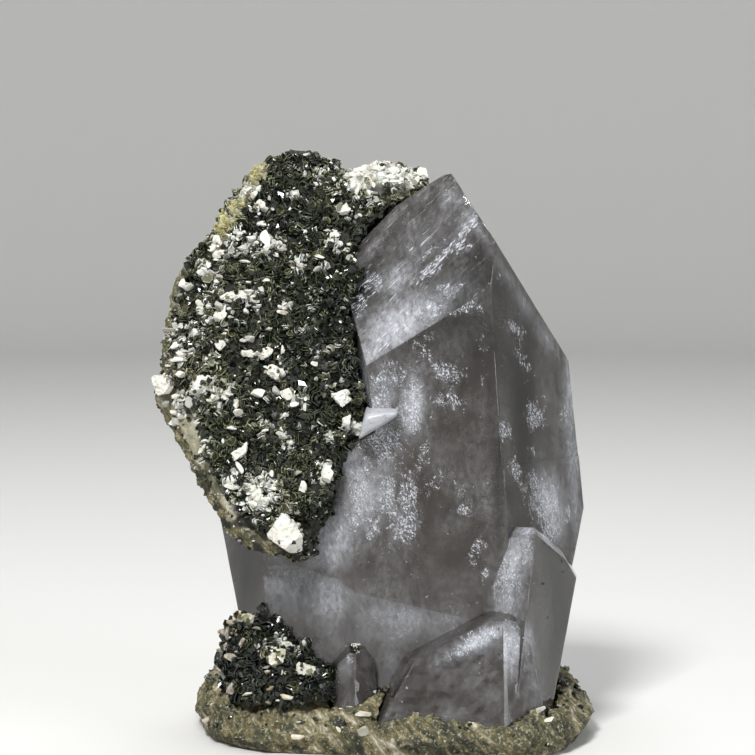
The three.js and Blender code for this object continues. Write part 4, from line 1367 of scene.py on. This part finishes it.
# A flake's sides and its thickness in millimetres.
FLAKE_SHAPES = [(5, 0.12), (4, 0.1), (6, 0.16)]
flakes = [make_flake(f"flake_{sides}", sides, depth) for sides, depth in FLAKE_SHAPES]


def flake_rows(table, rng, per_area, sizes, depths):
    rows = []
    for x, y, z, long, wide, turn, strength in table:
        home = Vector((x, y, z)) * MM
        out = quartz_tree.find_nearest(home)[1]
        c, s = math.cos(math.radians(turn)), math.sin(math.radians(turn))
        for _ in range(max(1, round(long * wide * per_area * strength))):
            a, b = rng.gauss(0, long * 0.55), rng.gauss(0, wide * 0.55)
            at = home + Vector((a * c - b * s, 0, a * s + b * c)) * MM
            near, normal, _, _ = quartz_tree.find_nearest(at)
            if normal.dot(out) < 0.95 or noise.noise(at / (1.8 * MM)) < -0.05:
                continue
            size = rng.uniform(*sizes)
            spot = near - normal * (rng.uniform(*depths) * MM)
            way = (normal + scatter(rng, 0.5, 0.5, 0.5)).normalized()
            stand = standing_along(way) @ any_turn(rng, "Z")
            shape = Matrix.Diagonal((size * rng.uniform(0.4, 0.8), size * 1.3, 0.5, 1))
            rows.append((rng.randrange(len(flakes)), Matrix.Translation(spot) @ stand @ shape, rng.random()))
    return rows


# %% Flakes in the quartz
rng = random.Random(41)
rows = flake_rows(VEILS, rng, 7, (0.06, 0.24), (0.1, 2.0))
veil_white = flake_finish("veil_white", (0.9, 0.92, 0.95), 0.3)
add_copies("veil_flakes", flakes, rows, veil_white, None)

# Black flakes: the middle of each, in millimetres.
BLACK_FLAKES = [
    (47.4, -6.2, 50.3), (48.7, -5, 45.4), (47.6, -7.2, 42.5), (45.2, -23.3, 43.5), (46.9, -20.7, 40.9),
    (45.5, -23, 40.8), (39.9, -32.2, 40.1), (46.3, -21.9, 36.5), (44.4, -25.1, 34.1), (39.1, -34, 28.7),
    (47.7, 1.8, 87), (37.8, -17, 67.7), (29, -41.8, 31.1), (34.6, -37.8, 34.4), (44.1, -21.3, 46.6),
    (42.3, -28.1, 43.6), (49.6, -3.9, 44), (41.2, -30.5, 31.2),
]
rows = flake_rows([(*at, 0.6, 0.6, 0, 1) for at in BLACK_FLAKES], rng, 2, (0.3, 0.6), (-0.02, 0.1))
black_mica = flake_finish("black_mica", (0.02, 0.02, 0.018), 0.3)
add_copies("black_flakes", flakes, rows, black_mica, None)

# %% [markdown]
# ## Letting go of the shapes
# The dressed specimen has to stay inside the plain model's box, which is kept from the start. The shapes that
# the copies were made from are not needed any more.

# %% Let go of the shapes
for shape in books + grains + flakes:
    bpy.data.meshes.remove(shape)
